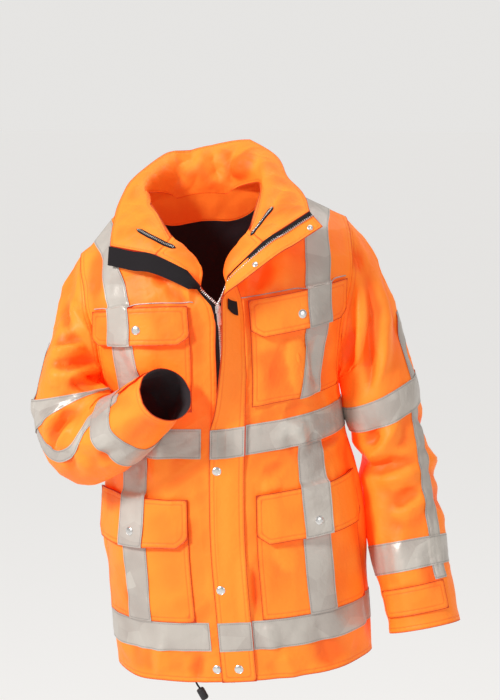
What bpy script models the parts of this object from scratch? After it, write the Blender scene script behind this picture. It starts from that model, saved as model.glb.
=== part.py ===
"""A hi-vis work jacket, worn open at the neck, as a hollow garment of sewn pieces.

Metres, +Z up.  The origin is the centre of the neck base, where the shoulders carry it.
The front looks along -Y and the wearer's left is +X.
"""

import math

import bmesh
import bpy
import numpy as np
from mathutils import Matrix

# Cloth and trimmings
SHELL = 0.0020
POCKET_CLOTH = 0.0016
TAPE = 0.0007
GAP = 0.0004
SEAM = 0.00018
SLEEVE_SEAM = 0.0016
COLLAR_GAP = 0.0008
PIPING_GAP = 0.0006
SLEEVE_TAPE_IN = 0.0012
SLEEVE_TAPE_LIFT = 0.0010
TAPE_WIDTH = 0.050
PIPING_RADIUS = 0.0009
SNAP_RADIUS = 0.0072
SNAP_HEIGHT = 0.0032
ZIP_TAPE_WIDTH = 0.0075
GUARD_WIDTH = 0.031
STORM_SEAM = 0.038
CORD_RADIUS = 0.0016

# How the jacket stands: it leans and turns with the wearer
LEAN = math.radians(4.9)
TURN_HEM = math.radians(-0.5)
TURN_CHEST = math.radians(10.0)
TURN_FROM_Z = -0.60
TURN_TO_Z = -0.18

# The wearer's right shoulder comes forward and down with the raised arm
SHOULDER_IN = 0.022
SHOULDER_DOWN = 0.022

# Levels: name, then centre front (x, y, z), then the side or armhole (x, y, z),
# the headings of the row at its two ends in degrees, and how far its middle rises.
FRONT_LEVELS = (
    # name             x_in    y_in    z_in   x_out   y_out   z_out  head_in head_out rise
    ("hem",            0.000, -0.150, -0.795, 0.222,  0.000, -0.797,   0.0,   90.0,  0.000),
    ("hem_tape_low",   0.000, -0.152, -0.740, 0.225,  0.000, -0.742,   0.0,   90.0,  0.000),
    ("hem_tape_top",   0.000, -0.152, -0.690, 0.225,  0.000, -0.692,   0.0,   90.0,  0.000),
    ("hip",            0.000, -0.152, -0.624, 0.223,  0.000, -0.622,   0.0,   90.0,  0.000),
    ("hip_flap_low",   0.000, -0.151, -0.560, 0.219,  0.000, -0.556,   0.0,   90.0,  0.000),
    ("hip_flap_top",   0.000, -0.150, -0.478, 0.212,  0.000, -0.470,   0.0,   90.0,  0.000),
    ("waist_tape_low", 0.000, -0.151, -0.410, 0.206,  0.000, -0.398,   0.0,   90.0,  0.000),
    ("waist_tape_top", 0.000, -0.152, -0.360, 0.202,  0.000, -0.348,   0.0,   90.0,  0.000),
    ("underarm",       0.000, -0.155, -0.330, 0.200,  0.000, -0.320,   0.0,   90.0,  0.000),
    ("chest_low",      0.000, -0.160, -0.270, 0.203, -0.062, -0.258,   0.0,   62.0,  0.000),
    ("chest_flap_low", 0.000, -0.164, -0.216, 0.214, -0.074, -0.200,   0.0,   58.0,  0.000),
    ("piping",         0.000, -0.166, -0.154, 0.232, -0.066, -0.138,   0.0,   56.0,  0.000),
    ("upper_chest",    0.024, -0.152, -0.094, 0.237, -0.050, -0.100,   8.0,   58.0,  0.004),
    ("collar_front",   0.062, -0.134, -0.040, 0.239, -0.032, -0.074,  10.0,   48.0,  0.010),
    ("neck_side",      0.084, -0.072,  0.000, 0.239, -0.013, -0.056,   4.0,   30.0,  0.008),
    ("yoke",           0.092, -0.034,  0.014, 0.239, -0.003, -0.049,   2.0,   12.0,  0.006),
    ("shoulder",       0.094,  0.008,  0.026, 0.238,  0.006, -0.046,   0.0,    0.0,  0.005),
)
BACK_LEVELS = (
    ("hem",            0.000,  0.130, -0.795, 0.222,  0.000, -0.797,   0.0,  -90.0,  0.000),
    ("hem_tape_low",   0.000,  0.132, -0.740, 0.225,  0.000, -0.742,   0.0,  -90.0,  0.000),
    ("hem_tape_top",   0.000,  0.132, -0.690, 0.225,  0.000, -0.692,   0.0,  -90.0,  0.000),
    ("hip",            0.000,  0.132, -0.624, 0.223,  0.000, -0.622,   0.0,  -90.0,  0.000),
    ("hip_flap_low",   0.000,  0.130, -0.560, 0.219,  0.000, -0.556,   0.0,  -90.0,  0.000),
    ("hip_flap_top",   0.000,  0.127, -0.478, 0.212,  0.000, -0.470,   0.0,  -90.0,  0.000),
    ("waist_tape_low", 0.000,  0.124, -0.410, 0.206,  0.000, -0.398,   0.0,  -90.0,  0.000),
    ("waist_tape_top", 0.000,  0.124, -0.360, 0.202,  0.000, -0.348,   0.0,  -90.0,  0.000),
    ("underarm",       0.000,  0.126, -0.330, 0.200,  0.000, -0.320,   0.0,  -90.0,  0.000),
    ("chest_low",      0.000,  0.130, -0.270, 0.205,  0.056, -0.258,   0.0,  -62.0,  0.000),
    ("chest_flap_low", 0.000,  0.133, -0.212, 0.213,  0.072, -0.200,   0.0,  -56.0,  0.000),
    ("piping",         0.000,  0.132, -0.150, 0.227,  0.070, -0.138,   0.0,  -52.0,  0.000),
    ("upper_chest",    0.000,  0.125, -0.092, 0.235,  0.058, -0.100,   0.0,  -48.0,  0.004),
    ("collar_front",   0.000,  0.112, -0.036, 0.238,  0.042, -0.074,   0.0,  -40.0,  0.008),
    ("neck_side",      0.000,  0.086,  0.012, 0.239,  0.024, -0.056,   0.0,  -28.0,  0.010),
    ("yoke",           0.062,  0.066,  0.018, 0.239,  0.014, -0.049,   0.0,  -12.0,  0.007),
    ("shoulder",       0.094,  0.008,  0.026, 0.238,  0.006, -0.046,   0.0,    0.0,  0.005),
)
FULLNESS = 0.40

# The open front edge above the slider: level, edge (x, y, z), for each side
OPEN_EDGE_LEFT = {
    "upper_chest": (0.018, -0.190, -0.105),
    "collar_front": (0.080, -0.187, -0.056),
}
OPEN_EDGE_RIGHT = {
    "upper_chest": (0.044, -0.176, -0.094),
    "collar_front": (0.093, -0.158, -0.064),
}
# From the roll line to the brace tape, along each open level
ROLL_TO_TAPE = {
    "upper_chest": 0.132,
    "collar_front": 0.102,
    "neck_side": 0.086,
    "yoke": 0.080,
    "shoulder": 0.080,
}

# Columns of a front, as distances round the body from the centre front
ZIP_EDGE = 0.008
CHEST_POCKET_IN = 0.049
HIP_POCKET_IN = 0.057
POCKET_MID = 0.092
BRACE_IN = {
    "hem": 0.140,
    "hem_tape_low": 0.139,
    "hem_tape_top": 0.138,
    "hip": 0.136,
    "hip_flap_low": 0.135,
    "hip_flap_top": 0.132,
    "waist_tape_low": 0.130,
    "waist_tape_top": 0.130,
    "underarm": 0.131,
    "chest_low": 0.136,
    "chest_flap_low": 0.144,
    "piping": 0.149,
}
CHEST_POCKET_OUT = 0.243
HIP_POCKET_OUT = 0.268
COLUMNS = ("edge", "lapel", "roll", "pocket_in", "pocket_mid", "brace_in", "brace_out", "pocket_out", "seam")
# How far a front's last pocket column stays off the side seam
POCKET_TO_SEAM = 0.012
BACK_BRACE_IN = 0.128
# How much further out a brace lies at each level of the back: (z, distance)
BACK_BRACE_SPREAD = ((-0.36, 0.0), (-0.09, 0.008), (0.012, 0.016))
BACK_NECK = 0.045
# Shares of the way from the roll line to the brace tape, on the open levels
ROLL_SHARES = (0.28, 0.62)

# Collar: name, place round the neck seam (0 right front, 1 left front), and its top edge
COLLAR_TOP = (
    # place   x       y       z
    (0.000, -0.137, -0.142, -0.060),
    (0.090, -0.141, -0.100, -0.036),
    (0.190, -0.139, -0.045,  0.006),
    (0.290, -0.120,  0.005,  0.045),
    (0.380, -0.086,  0.062,  0.076),
    (0.500, -0.010,  0.106,  0.092),
    (0.590,  0.062,  0.112,  0.104),
    (0.660,  0.104,  0.086,  0.092),
    (0.730,  0.128,  0.042,  0.058),
    (0.810,  0.151, -0.006,  0.036),
    (0.900,  0.174, -0.066,  0.020),
    (1.000,  0.187, -0.132, -0.001),
)
COLLAR_ROLL = 0.024
# How far the collar's seam sits up on the cloth below it, in shell thicknesses
COLLAR_RAISE = {"collar_front": 4.1, "neck_side": 2.5, "yoke": 1.95, "shoulder": 1.9}
BACK_COLLAR_RAISE = (0.0, 0.4)

# Sleeve heads, as rings that fan out from the underarm seam: name, angle through the fan
# (deg), bend and side radii, and how far out, ahead and up the ring's inner side lies
LEFT_HEAD = (
    ("head",     18.0, 0.107, 0.084, 0.001,  0.000, 0.004),
    ("long_top", 42.0, 0.069, 0.081, 0.005, -0.005, 0.006),
)
RIGHT_HEAD = (
    ("head",     14.0, 0.094, 0.076, 0.001,  0.022, 0.003),
    ("long_top", 48.0, 0.050, 0.068, 0.002,  0.066, 0.046),
)
# Left sleeve, in the world: centre (x, y, z) of each ring, its bend and side radii, how far
# the oval is rolled (deg) and tilted; the right sleeve is a fan of rings round its crease.
LEFT_SLEEVE = (
    # name          x       y       z      r_bend  r_side  roll  tilt
    ("upper_top",   0.302,  0.036, -0.318, 0.065,  0.079,  22.0, 0.26),
    ("upper_low",   0.310,  0.040, -0.368, 0.065,  0.078,  32.0, 0.20),
    ("above_elbow", 0.321,  0.038, -0.418, 0.064,  0.077,  40.0, 0.10),
    ("elbow",       0.331,  0.032, -0.470, 0.066,  0.076,  44.0, 0.04),
    ("below_elbow", 0.339,  0.020, -0.524, 0.070,  0.074,  45.0, 0.00),
    ("lower_top",   0.350,  0.004, -0.580, 0.069,  0.072,  45.0, 0.00),
    ("lower_low",   0.361, -0.010, -0.629, 0.066,  0.069,  45.0, 0.00),
    ("tab_top",     0.367, -0.016, -0.651, 0.065,  0.068,  45.0, 0.00),
    ("tab_low",     0.378, -0.027, -0.698, 0.063,  0.066,  45.0, 0.00),
    ("cuff",        0.384, -0.034, -0.724, 0.062,  0.065,  45.0, 0.00),
)
RIGHT_CREASE = (-0.145, -0.156, -0.292)
RIGHT_BEND_HEADING = math.radians(-36.0)
CREASE_GAP = 0.013
# name, angle through the elbow (deg), run past the elbow, r_bend, r_side, roll (deg)
RIGHT_FOREARM = (
    ("upper_top",    13.0, 0.000, 0.067, 0.062,    0.0),
    ("upper_low",    35.0, 0.000, 0.081, 0.063,  -10.0),
    ("above_elbow",  57.0, 0.000, 0.088, 0.064,  -25.0),
    ("elbow",        78.0, 0.000, 0.081, 0.065,  -45.0),
    ("below_elbow",  98.0, 0.000, 0.068, 0.064,  -65.0),
    ("lower_top",   117.0, 0.000, 0.062, 0.062,  -82.0),
    ("lower_low",   117.0, 0.050, 0.055, 0.060,  -92.0),
    ("tab_top",     117.0, 0.066, 0.053, 0.059,  -96.0),
    ("tab_low",     117.0, 0.108, 0.046, 0.056, -104.0),
    ("cuff",        117.0, 0.128, 0.044, 0.055, -106.0),
)
# Girth of a sleeve: places of its columns, from the underarm over the front to the top
SLEEVE_COLUMNS = (0.0, 0.067, 0.134, 0.201, 0.268, 0.335, 0.402, 0.470, 0.5)
LONG_TAPE_COLUMNS = (7, 9)
CUFF_TAB_COLUMNS = (3, 8)
# How far the sleeves and the collar keep off the inner face of the fronts and the back
LEFT_CLEAR = {"head": 0.004, "long_top": 0.0075}
LEFT_CLEAR_BELOW = 0.009
RIGHT_CLEAR = {"head": 0.004, "long_top": 0.008}
RIGHT_CLEAR_BELOW = 0.014
COLLAR_CLEAR = 0.0085

COLOUR_ORANGE = (1.0, 0.22, 0.03, 1.0)
COLOUR_TAPE = (0.52, 0.51, 0.48, 1.0)
COLOUR_DARK = (0.02, 0.017, 0.02, 1.0)
COLOUR_METAL = (0.72, 0.71, 0.69, 1.0)
COLOUR_PLASTIC = (0.025, 0.023, 0.026, 1.0)


def unit(vector):
    return vector / max(np.linalg.norm(vector), 1e-9)


def stance(points):
    """Turns and leans points of the straight garment into the pose it is worn in."""
    points = np.asarray(points, float)
    x, y, z = points[..., 0], points[..., 1], points[..., 2]
    turn = TURN_HEM + (TURN_CHEST - TURN_HEM) * ease(z, TURN_FROM_Z, TURN_TO_Z)
    turned_x = x * np.cos(turn) - y * np.sin(turn)
    turned_y = x * np.sin(turn) + y * np.cos(turn)
    leaned_x = turned_x * math.cos(LEAN) - z * math.sin(LEAN)
    leaned_z = z * math.cos(LEAN) + turned_x * math.sin(LEAN)
    return np.stack([leaned_x, turned_y, leaned_z], axis=-1)


def level_curve(level, steps=96):
    """The curve of one level from the centre line to the seam."""
    _, x0, y0, z0, x1, y1, z1, heading_in, heading_out, rise = level
    start, end = np.array([x0, y0, z0]), np.array([x1, y1, z1])
    reach = FULLNESS * np.linalg.norm((end - start)[:2])
    a, b = math.radians(heading_in), math.radians(heading_out)
    handle_in = start + reach * np.array([math.cos(a), math.sin(a), 0.0])
    handle_out = end - reach * np.array([math.cos(b), math.sin(b), 0.0])
    t = np.linspace(0.0, 1.0, steps)[:, None]
    curve = (1 - t) ** 3 * start + 3 * t * (1 - t) ** 2 * handle_in
    curve += 3 * t ** 2 * (1 - t) * handle_out + t ** 3 * end
    curve[:, 2] = (z0 + (z1 - z0) * t + 4.0 * rise * t * (1 - t))[:, 0]
    return curve


def along(curve, distances):
    """Points of a curve at given distances from its start."""
    steps = np.linalg.norm(np.diff(curve, axis=0), axis=1)
    run = np.concatenate([[0.0], np.cumsum(steps)])
    return np.stack([np.interp(distances, run, curve[:, k]) for k in range(3)], axis=-1)


def length_of(curve):
    return float(np.linalg.norm(np.diff(curve, axis=0), axis=1).sum())


LEVELS = [level[0] for level in FRONT_LEVELS]
ROW = {name: index for index, name in enumerate(LEVELS)}
COLUMN = {name: index for index, name in enumerate(COLUMNS)}
ABSENT = np.full(3, np.nan)
BACK_HALF = 6


def ease(values, low, high):
    """0 below low, 1 above high and smooth between."""
    t = np.clip((values - low) / (high - low), 0.0, 1.0)
    return t * t * (3.0 - 2.0 * t)


def sided(points, side):
    """Left-hand points put on the given side: 1 left, -1 right with its lower shoulder."""
    points = np.array(points, float)
    if side > 0:
        return points
    share = ease(points[..., 0], 0.11, 0.24) * ease(points[..., 2], -0.32, -0.08)
    points[..., 0] -= SHOULDER_IN * share
    points[..., 2] -= SHOULDER_DOWN * share
    points[..., 0] *= -1.0
    return points


class Sheet:
    """A grid of points over cloth, rows upwards, with the outward direction at each.

    A point that the cloth doesn't reach is absent, and no face uses it.
    """

    def __init__(self, points, facing=1.0, normals=None, closed=False):
        self.points = np.asarray(points, float)
        self.facing = facing
        self.closed = closed
        self.normals = self.outward() if normals is None else np.asarray(normals, float)

    def here(self, i, j):
        rows, columns, _ = self.points.shape
        if self.closed:
            j %= columns
        inside = 0 <= i < rows and 0 <= j < columns
        return inside and not np.isnan(self.points[i, j, 0])

    def outward(self):
        rows, columns, _ = self.points.shape
        normals = np.zeros_like(self.points)
        for i in range(rows):
            for j in range(columns):
                if not self.here(i, j):
                    continue
                left = j - 1 if self.here(i, j - 1) else j
                right = j + 1 if self.here(i, j + 1) else j
                low = i - 1 if self.here(i - 1, j) else i
                high = i + 1 if self.here(i + 1, j) else i
                across = self.points[i, right % columns] - self.points[i, left % columns]
                up = self.points[high, j] - self.points[low, j]
                normals[i, j] = unit(np.cross(across, up)) * self.facing
        return normals

    def lifted(self, lift):
        lift = np.asarray(lift, float)
        if lift.ndim:
            lift = lift.reshape(lift.shape + (1,) * (3 - lift.ndim))
        return self.points + self.normals * lift

    def at(self, row, column, lift=0.0):
        """Place and outward direction between the points, at fractional indices."""
        i = min(int(row), self.points.shape[0] - 2)
        j = min(int(column), self.points.shape[1] - 2)
        u, v = row - i, column - j
        weights = np.array([[(1 - u) * (1 - v), (1 - u) * v], [u * (1 - v), u * v]])[:, :, None]
        outward = unit((self.normals[i:i + 2, j:j + 2] * weights).sum(axis=(0, 1)))
        return (self.points[i:i + 2, j:j + 2] * weights).sum(axis=(0, 1)) + outward * lift, outward

    def patch(self, rows, columns, lift=0.0):
        """The stretch between two rows and two columns, moved out by a lift."""
        lifted = self.lifted(lift)
        cut = np.s_[rows[0]:rows[1] + 1, columns[0]:columns[1] + 1]
        return Sheet(lifted[cut], self.facing, self.normals[cut])

    def inset(self, amount):
        """The same cloth with its border drawn in, which leaves the seam gap."""
        points = self.points.copy()
        rows, columns, _ = points.shape
        pull = np.zeros_like(points)
        for i in range(rows):
            for j in range(columns):
                if not self.here(i, j):
                    continue
                for di, dj in ((0, 1), (0, -1), (1, 0), (-1, 0)):
                    if self.closed and dj:
                        continue
                    if self.here(i - di, j - dj) or not self.here(i + di, j + dj):
                        continue
                    pull[i, j] += unit(points[i + di, j + dj] - points[i, j])
        return Sheet(points + pull * amount, self.facing, self.normals, self.closed)


def front_row(level, open_edge):
    """The left-hand points of one front level at every column."""
    name = level[0]
    curve = level_curve(level)
    total = length_of(curve)
    if name not in ROLL_TO_TAPE:
        low = name.startswith(("hem", "hip"))
        pocket_in = HIP_POCKET_IN if low else CHEST_POCKET_IN
        pocket_out = HIP_POCKET_OUT if low else min(CHEST_POCKET_OUT, total - POCKET_TO_SEAM)
        marks = [ZIP_EDGE, 0.5 * (ZIP_EDGE + STORM_SEAM), STORM_SEAM, pocket_in, POCKET_MID]
        marks += [BRACE_IN[name], BRACE_IN[name] + TAPE_WIDTH, pocket_out, total]
        return along(curve, marks)
    brace = ROLL_TO_TAPE[name]
    outer = brace + TAPE_WIDTH
    marks = [0.0, *(share * brace for share in ROLL_SHARES), brace, outer, 0.5 * (outer + total), total]
    points = along(curve, marks)
    lapel = [ABSENT, ABSENT]
    if name in open_edge:
        edge = np.array(open_edge[name])
        lapel = [edge, 0.5 * (edge + points[0])]
    return np.vstack([lapel, points])


def make_front(side):
    open_edge = OPEN_EDGE_LEFT if side > 0 else OPEN_EDGE_RIGHT
    rows = [front_row(level, open_edge) for level in FRONT_LEVELS]
    return Sheet(stance(sided(np.array(rows), side)), facing=side)


def back_row(level):
    """The left-hand points of one back level, from the centre to the seam."""
    name = level[0]
    curve = level_curve(level)
    total = length_of(curve)
    if name in ("yoke", "shoulder"):
        brace = ROLL_TO_TAPE[name]
        outer = brace + TAPE_WIDTH
        marks = [0.0, 0.5 * brace, brace, outer, 0.5 * (outer + total), total]
        return np.vstack([[ABSENT], along(curve, marks)])
    heights, spreads = zip(*BACK_BRACE_SPREAD)
    brace = BACK_BRACE_IN + float(np.interp(level[3], heights, spreads))
    outer = brace + TAPE_WIDTH
    marks = [0.0, BACK_NECK, 0.5 * (BACK_NECK + brace), brace, outer, 0.5 * (outer + total), total]
    return along(curve, marks)


def make_back():
    half = np.array([back_row(level) for level in BACK_LEVELS])
    whole = np.concatenate([sided(half[:, :0:-1], -1), half], axis=1)
    return Sheet(stance(whole), facing=-1.0)


# --- Objects ---------------------------------------------------------------------------

def material(name, colour, roughness, metallic=0.0):
    finish = bpy.data.materials.get(name)
    if finish is None:
        finish = bpy.data.materials.new(name)
        finish.use_nodes = True
        shader = finish.node_tree.nodes["Principled BSDF"]
        shader.inputs["Base Color"].default_value = colour
        shader.inputs["Roughness"].default_value = roughness
        shader.inputs["Metallic"].default_value = metallic
    return finish


def orange_cloth():
    return material("orange_cloth", COLOUR_ORANGE, 0.6)


def grey_tape():
    return material("grey_tape", COLOUR_TAPE, 0.45)


def dark_cloth():
    return material("dark_cloth", COLOUR_DARK, 0.8)


def bright_metal():
    return material("bright_metal", COLOUR_METAL, 0.3, 1.0)


def black_plastic():
    return material("black_plastic", COLOUR_PLASTIC, 0.5)


def jacket_collection():
    collection = bpy.data.collections.get("hi_vis_work_jacket")
    if collection is None:
        collection = bpy.data.collections.new("hi_vis_work_jacket")
        bpy.context.scene.collection.children.link(collection)
    return collection


def tool_collection():
    collection = bpy.data.collections.get("cutters")
    if collection is None:
        collection = bpy.data.collections.new("cutters")
        bpy.context.scene.collection.children.link(collection)
    return collection


def add_object(name, data, finish):
    data.materials.append(finish)
    obj = bpy.data.objects.new(name, data)
    jacket_collection().objects.link(obj)
    return obj


def add_cloth(name, sheet, wall, finish):
    """One sewn piece: the sheet's faces, thickened outwards to its wall."""
    rows, columns, _ = sheet.points.shape
    bm = bmesh.new()
    verts = {}
    for i in range(rows):
        for j in range(columns):
            if sheet.here(i, j):
                verts[i, j] = bm.verts.new(sheet.points[i, j])
    for i in range(rows - 1):
        for j in range(columns if sheet.closed else columns - 1):
            k = (j + 1) % columns
            corners = [(i, j), (i, k), (i + 1, k), (i + 1, j)]
            if not all(corner in verts for corner in corners):
                continue
            if sheet.facing < 0:
                corners.reverse()
            bm.faces.new([verts[corner] for corner in corners])
    loose = [vert for vert in bm.verts if not vert.link_faces]
    bmesh.ops.delete(bm, geom=loose, context="VERTS")
    mesh = bpy.data.meshes.new(name)
    bm.to_mesh(mesh)
    bm.free()
    obj = add_object(name, mesh, finish)
    thick = obj.modifiers.new("wall", "SOLIDIFY")
    thick.thickness = wall
    thick.offset = 1.0
    thick.use_even_offset = False
    return obj


def add_tube(name, points, radius, finish):
    curve = bpy.data.curves.new(name, "CURVE")
    curve.dimensions = "3D"
    curve.bevel_depth = radius
    curve.bevel_resolution = 2
    curve.use_fill_caps = True
    spline = curve.splines.new("POLY")
    spline.points.add(len(points) - 1)
    for point, place in zip(spline.points, points):
        point.co = (*place, 1.0)
    return add_object(name, curve, finish)


def frame_matrix(place, x_axis, z_axis):
    """A placement whose local z is z_axis and whose local x lies near x_axis."""
    z = unit(np.asarray(z_axis, float))
    y = unit(np.cross(z, np.asarray(x_axis, float)))
    x = np.cross(y, z)
    rows = [[x[k], y[k], z[k], place[k]] for k in range(3)]
    return Matrix(rows + [[0.0, 0.0, 0.0, 1.0]])


# --- Levels of the layers above a front's inner face -------------------------------------

ON_SHELL = SHELL + GAP
ON_POCKET = ON_SHELL + POCKET_CLOTH + GAP
FLAP_LIFT = ON_POCKET + TAPE + GAP
ON_FLAP = FLAP_LIFT + POCKET_CLOTH + GAP
ON_STORM = SHELL + GAP
ON_COLLAR = ON_SHELL + 0.0008
BRACE_STEP = ON_SHELL + 0.002
POCKET_MOUTH_IN = 0.001
SHOULDER_TAPE_IN = 0.0006
LONG_TAPE_IN = 0.001
CUFF_TAB_IN = 0.001
STORM_TAPE_IN = (0.0012, 0.0006)

# A flap's cut corners: how far in from its two ends they reach, and the share of its height
CLIP_RUNS = (0.020, 0.015)
CHEST_CLIP = 0.20
HIP_CLIP = 0.18

# The piping: the share of the way up from its level, and how far it starts past the roll line
PIPING_UP = 0.10
PIPING_START = 0.2

# The collar curls in round this place: shares of its roll that go inwards and up
COLLAR_CENTRE = (0.02, 0.02, 0.0)
COLLAR_CURL = (0.6, 0.4)
SIDES = (("left", 1), ("right", -1))
SAMPLE_SHARES = (0.0, 0.25, 0.5, 0.75)

# The storm flap where it stands off the front round the slider: level, direction (x, y, z)
# from its seam; and above the slider, direction from the open front edge
STORM_RAISED = {
    "underarm": (-0.930, -0.368, 0.00),
    "chest_low": (-0.800, -0.600, 0.00),
    "chest_flap_low": (-0.700, -0.714, 0.00),
    "piping": (-0.620, -0.785, 0.00),
}
STORM_RAISED_STEPS = (0.015, 0.030, 0.038, 0.044, 0.050, 0.056)
STORM_FREE = {
    "upper_chest": (0.25, -0.80, -0.55),
    "collar_front": (0.55, -0.45, -0.70),
}
STORM_FREE_COLLAR = (0.60, -0.40, -0.70)
FREE_STEPS = (0.008, 0.016, 0.024, 0.032)
# Share of the way from the right zip edge to its next column, where the closed flap ends
STORM_OVER = 0.80
GUARD_FREE = {
    "piping": (0.30, -0.60, -0.75),
    "upper_chest": (0.05, -0.45, -0.90),
    "collar_front": (-0.05, -0.30, -0.95),
}
GUARD_FREE_COLLAR = (-0.12, -0.22, -0.97)
OPEN_LEVELS = ("piping", "upper_chest", "collar_front")
COLLAR_HEIGHTS = (0.0, 0.34, 0.68, 1.0)
GUARD_TAPER = 0.25
GUARD_WALL = 0.0015
GUARD_BEHIND = 0.0034
GUARD_START = 0.55
EDGE_CLEAR = 0.0016
ZIP_TAPE_LIFT = 0.0002
ZIP_HALF_GAP = 0.0002
ZIP_TO_FRONT = 0.0004
ZIP_TAPE_WALL = 0.0011
NECK_COLUMNS = (COLUMN["roll"], BACK_HALF - 1, BACK_HALF, BACK_HALF + 1)

# Slider: width, height and depth; its bridge; and the pull that swings on the bridge
SLIDER_SIZE = (0.0090, 0.0130, 0.0034)
SLIDER_BELOW = 0.0075
SLIDER_LIFT = 0.0018
BRIDGE_WIDTH = 0.0026
BRIDGE_SPAN = 0.0084
BRIDGE_WALL = 0.0014
BRIDGE_CLEAR = 0.0026
BRIDGE_FOOT = 0.0008
BRIDGE_CHAMFER = 0.0012
SLIDER_BEVEL = 0.0009
PULL_BEVEL = 0.0004
PULL_SIZE = (0.0065, 0.0260, 0.0014)
PULL_HOLE = (0.0034, 0.0045)

# Snap caps: (radius, height) shares from the dome's top to its foot
SNAP_PROFILE = ((0.0, 1.0), (0.45, 0.94), (0.80, 0.66), (0.97, 0.34), (1.0, 0.0), (0.0, 0.0))
ON_FLAP_TAPE = ON_FLAP + TAPE + GAP
SNAPS = (
    # name          sheet    row                            column  lift
    ("chest_left", "left", ROW["chest_flap_low"] + 0.40, COLUMN["pocket_mid"] + 0.79, ON_FLAP + GAP),
    ("chest_right", "right", ROW["chest_flap_low"] + 0.40, COLUMN["pocket_mid"] + 0.79, ON_FLAP + GAP),
    ("hip_left", "left", ROW["hip_flap_low"] + 0.30, COLUMN["brace_in"] + 0.50, ON_FLAP_TAPE),
    ("hip_right", "right", ROW["hip_flap_low"] + 0.30, COLUMN["brace_in"] + 0.50, ON_FLAP_TAPE),
    ("storm_upper", "flap", ROW["hip_flap_top"] + 0.70, 2.1, ON_STORM),
    ("storm_lower", "flap", ROW["hem_tape_top"] + 0.86, 2.0, ON_STORM),
    ("hem_flap", "flap", ROW["hem"] + 0.42, 4.15, ON_STORM),
    ("hem_right", "right", ROW["hem"] + 0.42, 1.28, ON_SHELL),
)

# The patch on the storm flap: its rows and columns on the flap, and its slant
PATCH_ROWS = (ROW["piping"] - 0.08, ROW["piping"], ROW["piping"] + 0.30)
PATCH_COLUMNS = (2.4, 4.0, 4.85)
PATCH_SLANT = -0.10
PATCH_LIFT = 0.0006
PATCH_WALL = 0.0008

# The drawcord: row and column it starts at on the right front, and its run from there as
# distances down, outwards and across; and the toggle's (radius, height) from its bore
CORD_AT = (0.30, 3.34)
CORD_ROUTE = (
    (0.0000, 0.0000,  0.0000),
    (0.0080, 0.0000, -0.0005),
    (0.0165, 0.0002, -0.0015),
    (0.0220, 0.0006, -0.0036),
    (0.0280, 0.0010, -0.0068),
    (0.0350, 0.0014, -0.0104),
)
TOGGLE_FROM_CORD = 0.0132
TOGGLE_PROFILE = (
    (0.0000, 0.0125), (0.0021, 0.0125), (0.0021, 0.0210), (0.0046, 0.0210), (0.0062, 0.0200),
    (0.0068, 0.0180), (0.0068, 0.0030), (0.0060, 0.0010), (0.0044, 0.0000), (0.0000, 0.0000),
)
RIGHT_TAPE_START = -0.004


def slide(sheet, column, distance):
    """Draws the first (0) or last (-1) column in along its rows."""
    points = sheet.points.copy()
    inner = 1 if column == 0 else -2
    for row in points:
        step = row[inner] - row[column]
        row[column] += unit(step) * distance
    return Sheet(points, sheet.facing, sheet.normals)


def slide_rows(sheet, row, distance):
    """Draws the first (0) or last (-1) row in along its columns."""
    points = sheet.points.copy()
    inner = 1 if row == 0 else -2
    for j in range(points.shape[1]):
        step = points[inner, j] - points[row, j]
        points[row, j] += unit(step) * distance
    return Sheet(points, sheet.facing, sheet.normals, sheet.closed)


def rows_between(low, high):
    return ROW[low], ROW[high]


def columns_between(first, last):
    return COLUMN[first], COLUMN[last]


def strip(front, rows, columns, special):
    """A tape along the front, with (level, lift) pairs where it doesn't lie on the shell."""
    lifts = np.full((rows[1] - rows[0] + 1, columns[1] - columns[0] + 1), ON_SHELL)
    for name, lift in special:
        lifts[ROW[name] - rows[0], :] = lift
    cut = np.s_[rows[0]:rows[1] + 1, columns[0]:columns[1] + 1]
    points = front.points[cut] + front.normals[cut] * lifts[:, :, None]
    return Sheet(points, front.facing, front.normals[cut])


def clip_corners(sheet, share):
    """Cuts the lower corners of a flap off, between added columns and a share of its height."""
    points = sheet.points
    for end, inner, place, run in ((0, 1, 1, CLIP_RUNS[0]), (-1, -2, -1, CLIP_RUNS[1])):
        step = points[:, inner] - points[:, end]
        length = np.linalg.norm(step, axis=1)[:, None]
        points = np.insert(points, place, points[:, end] + step * (run / length), axis=1)
    for column in (0, -1):
        points[0, column] += (points[1, column] - points[0, column]) * share
    return Sheet(points, sheet.facing)


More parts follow.
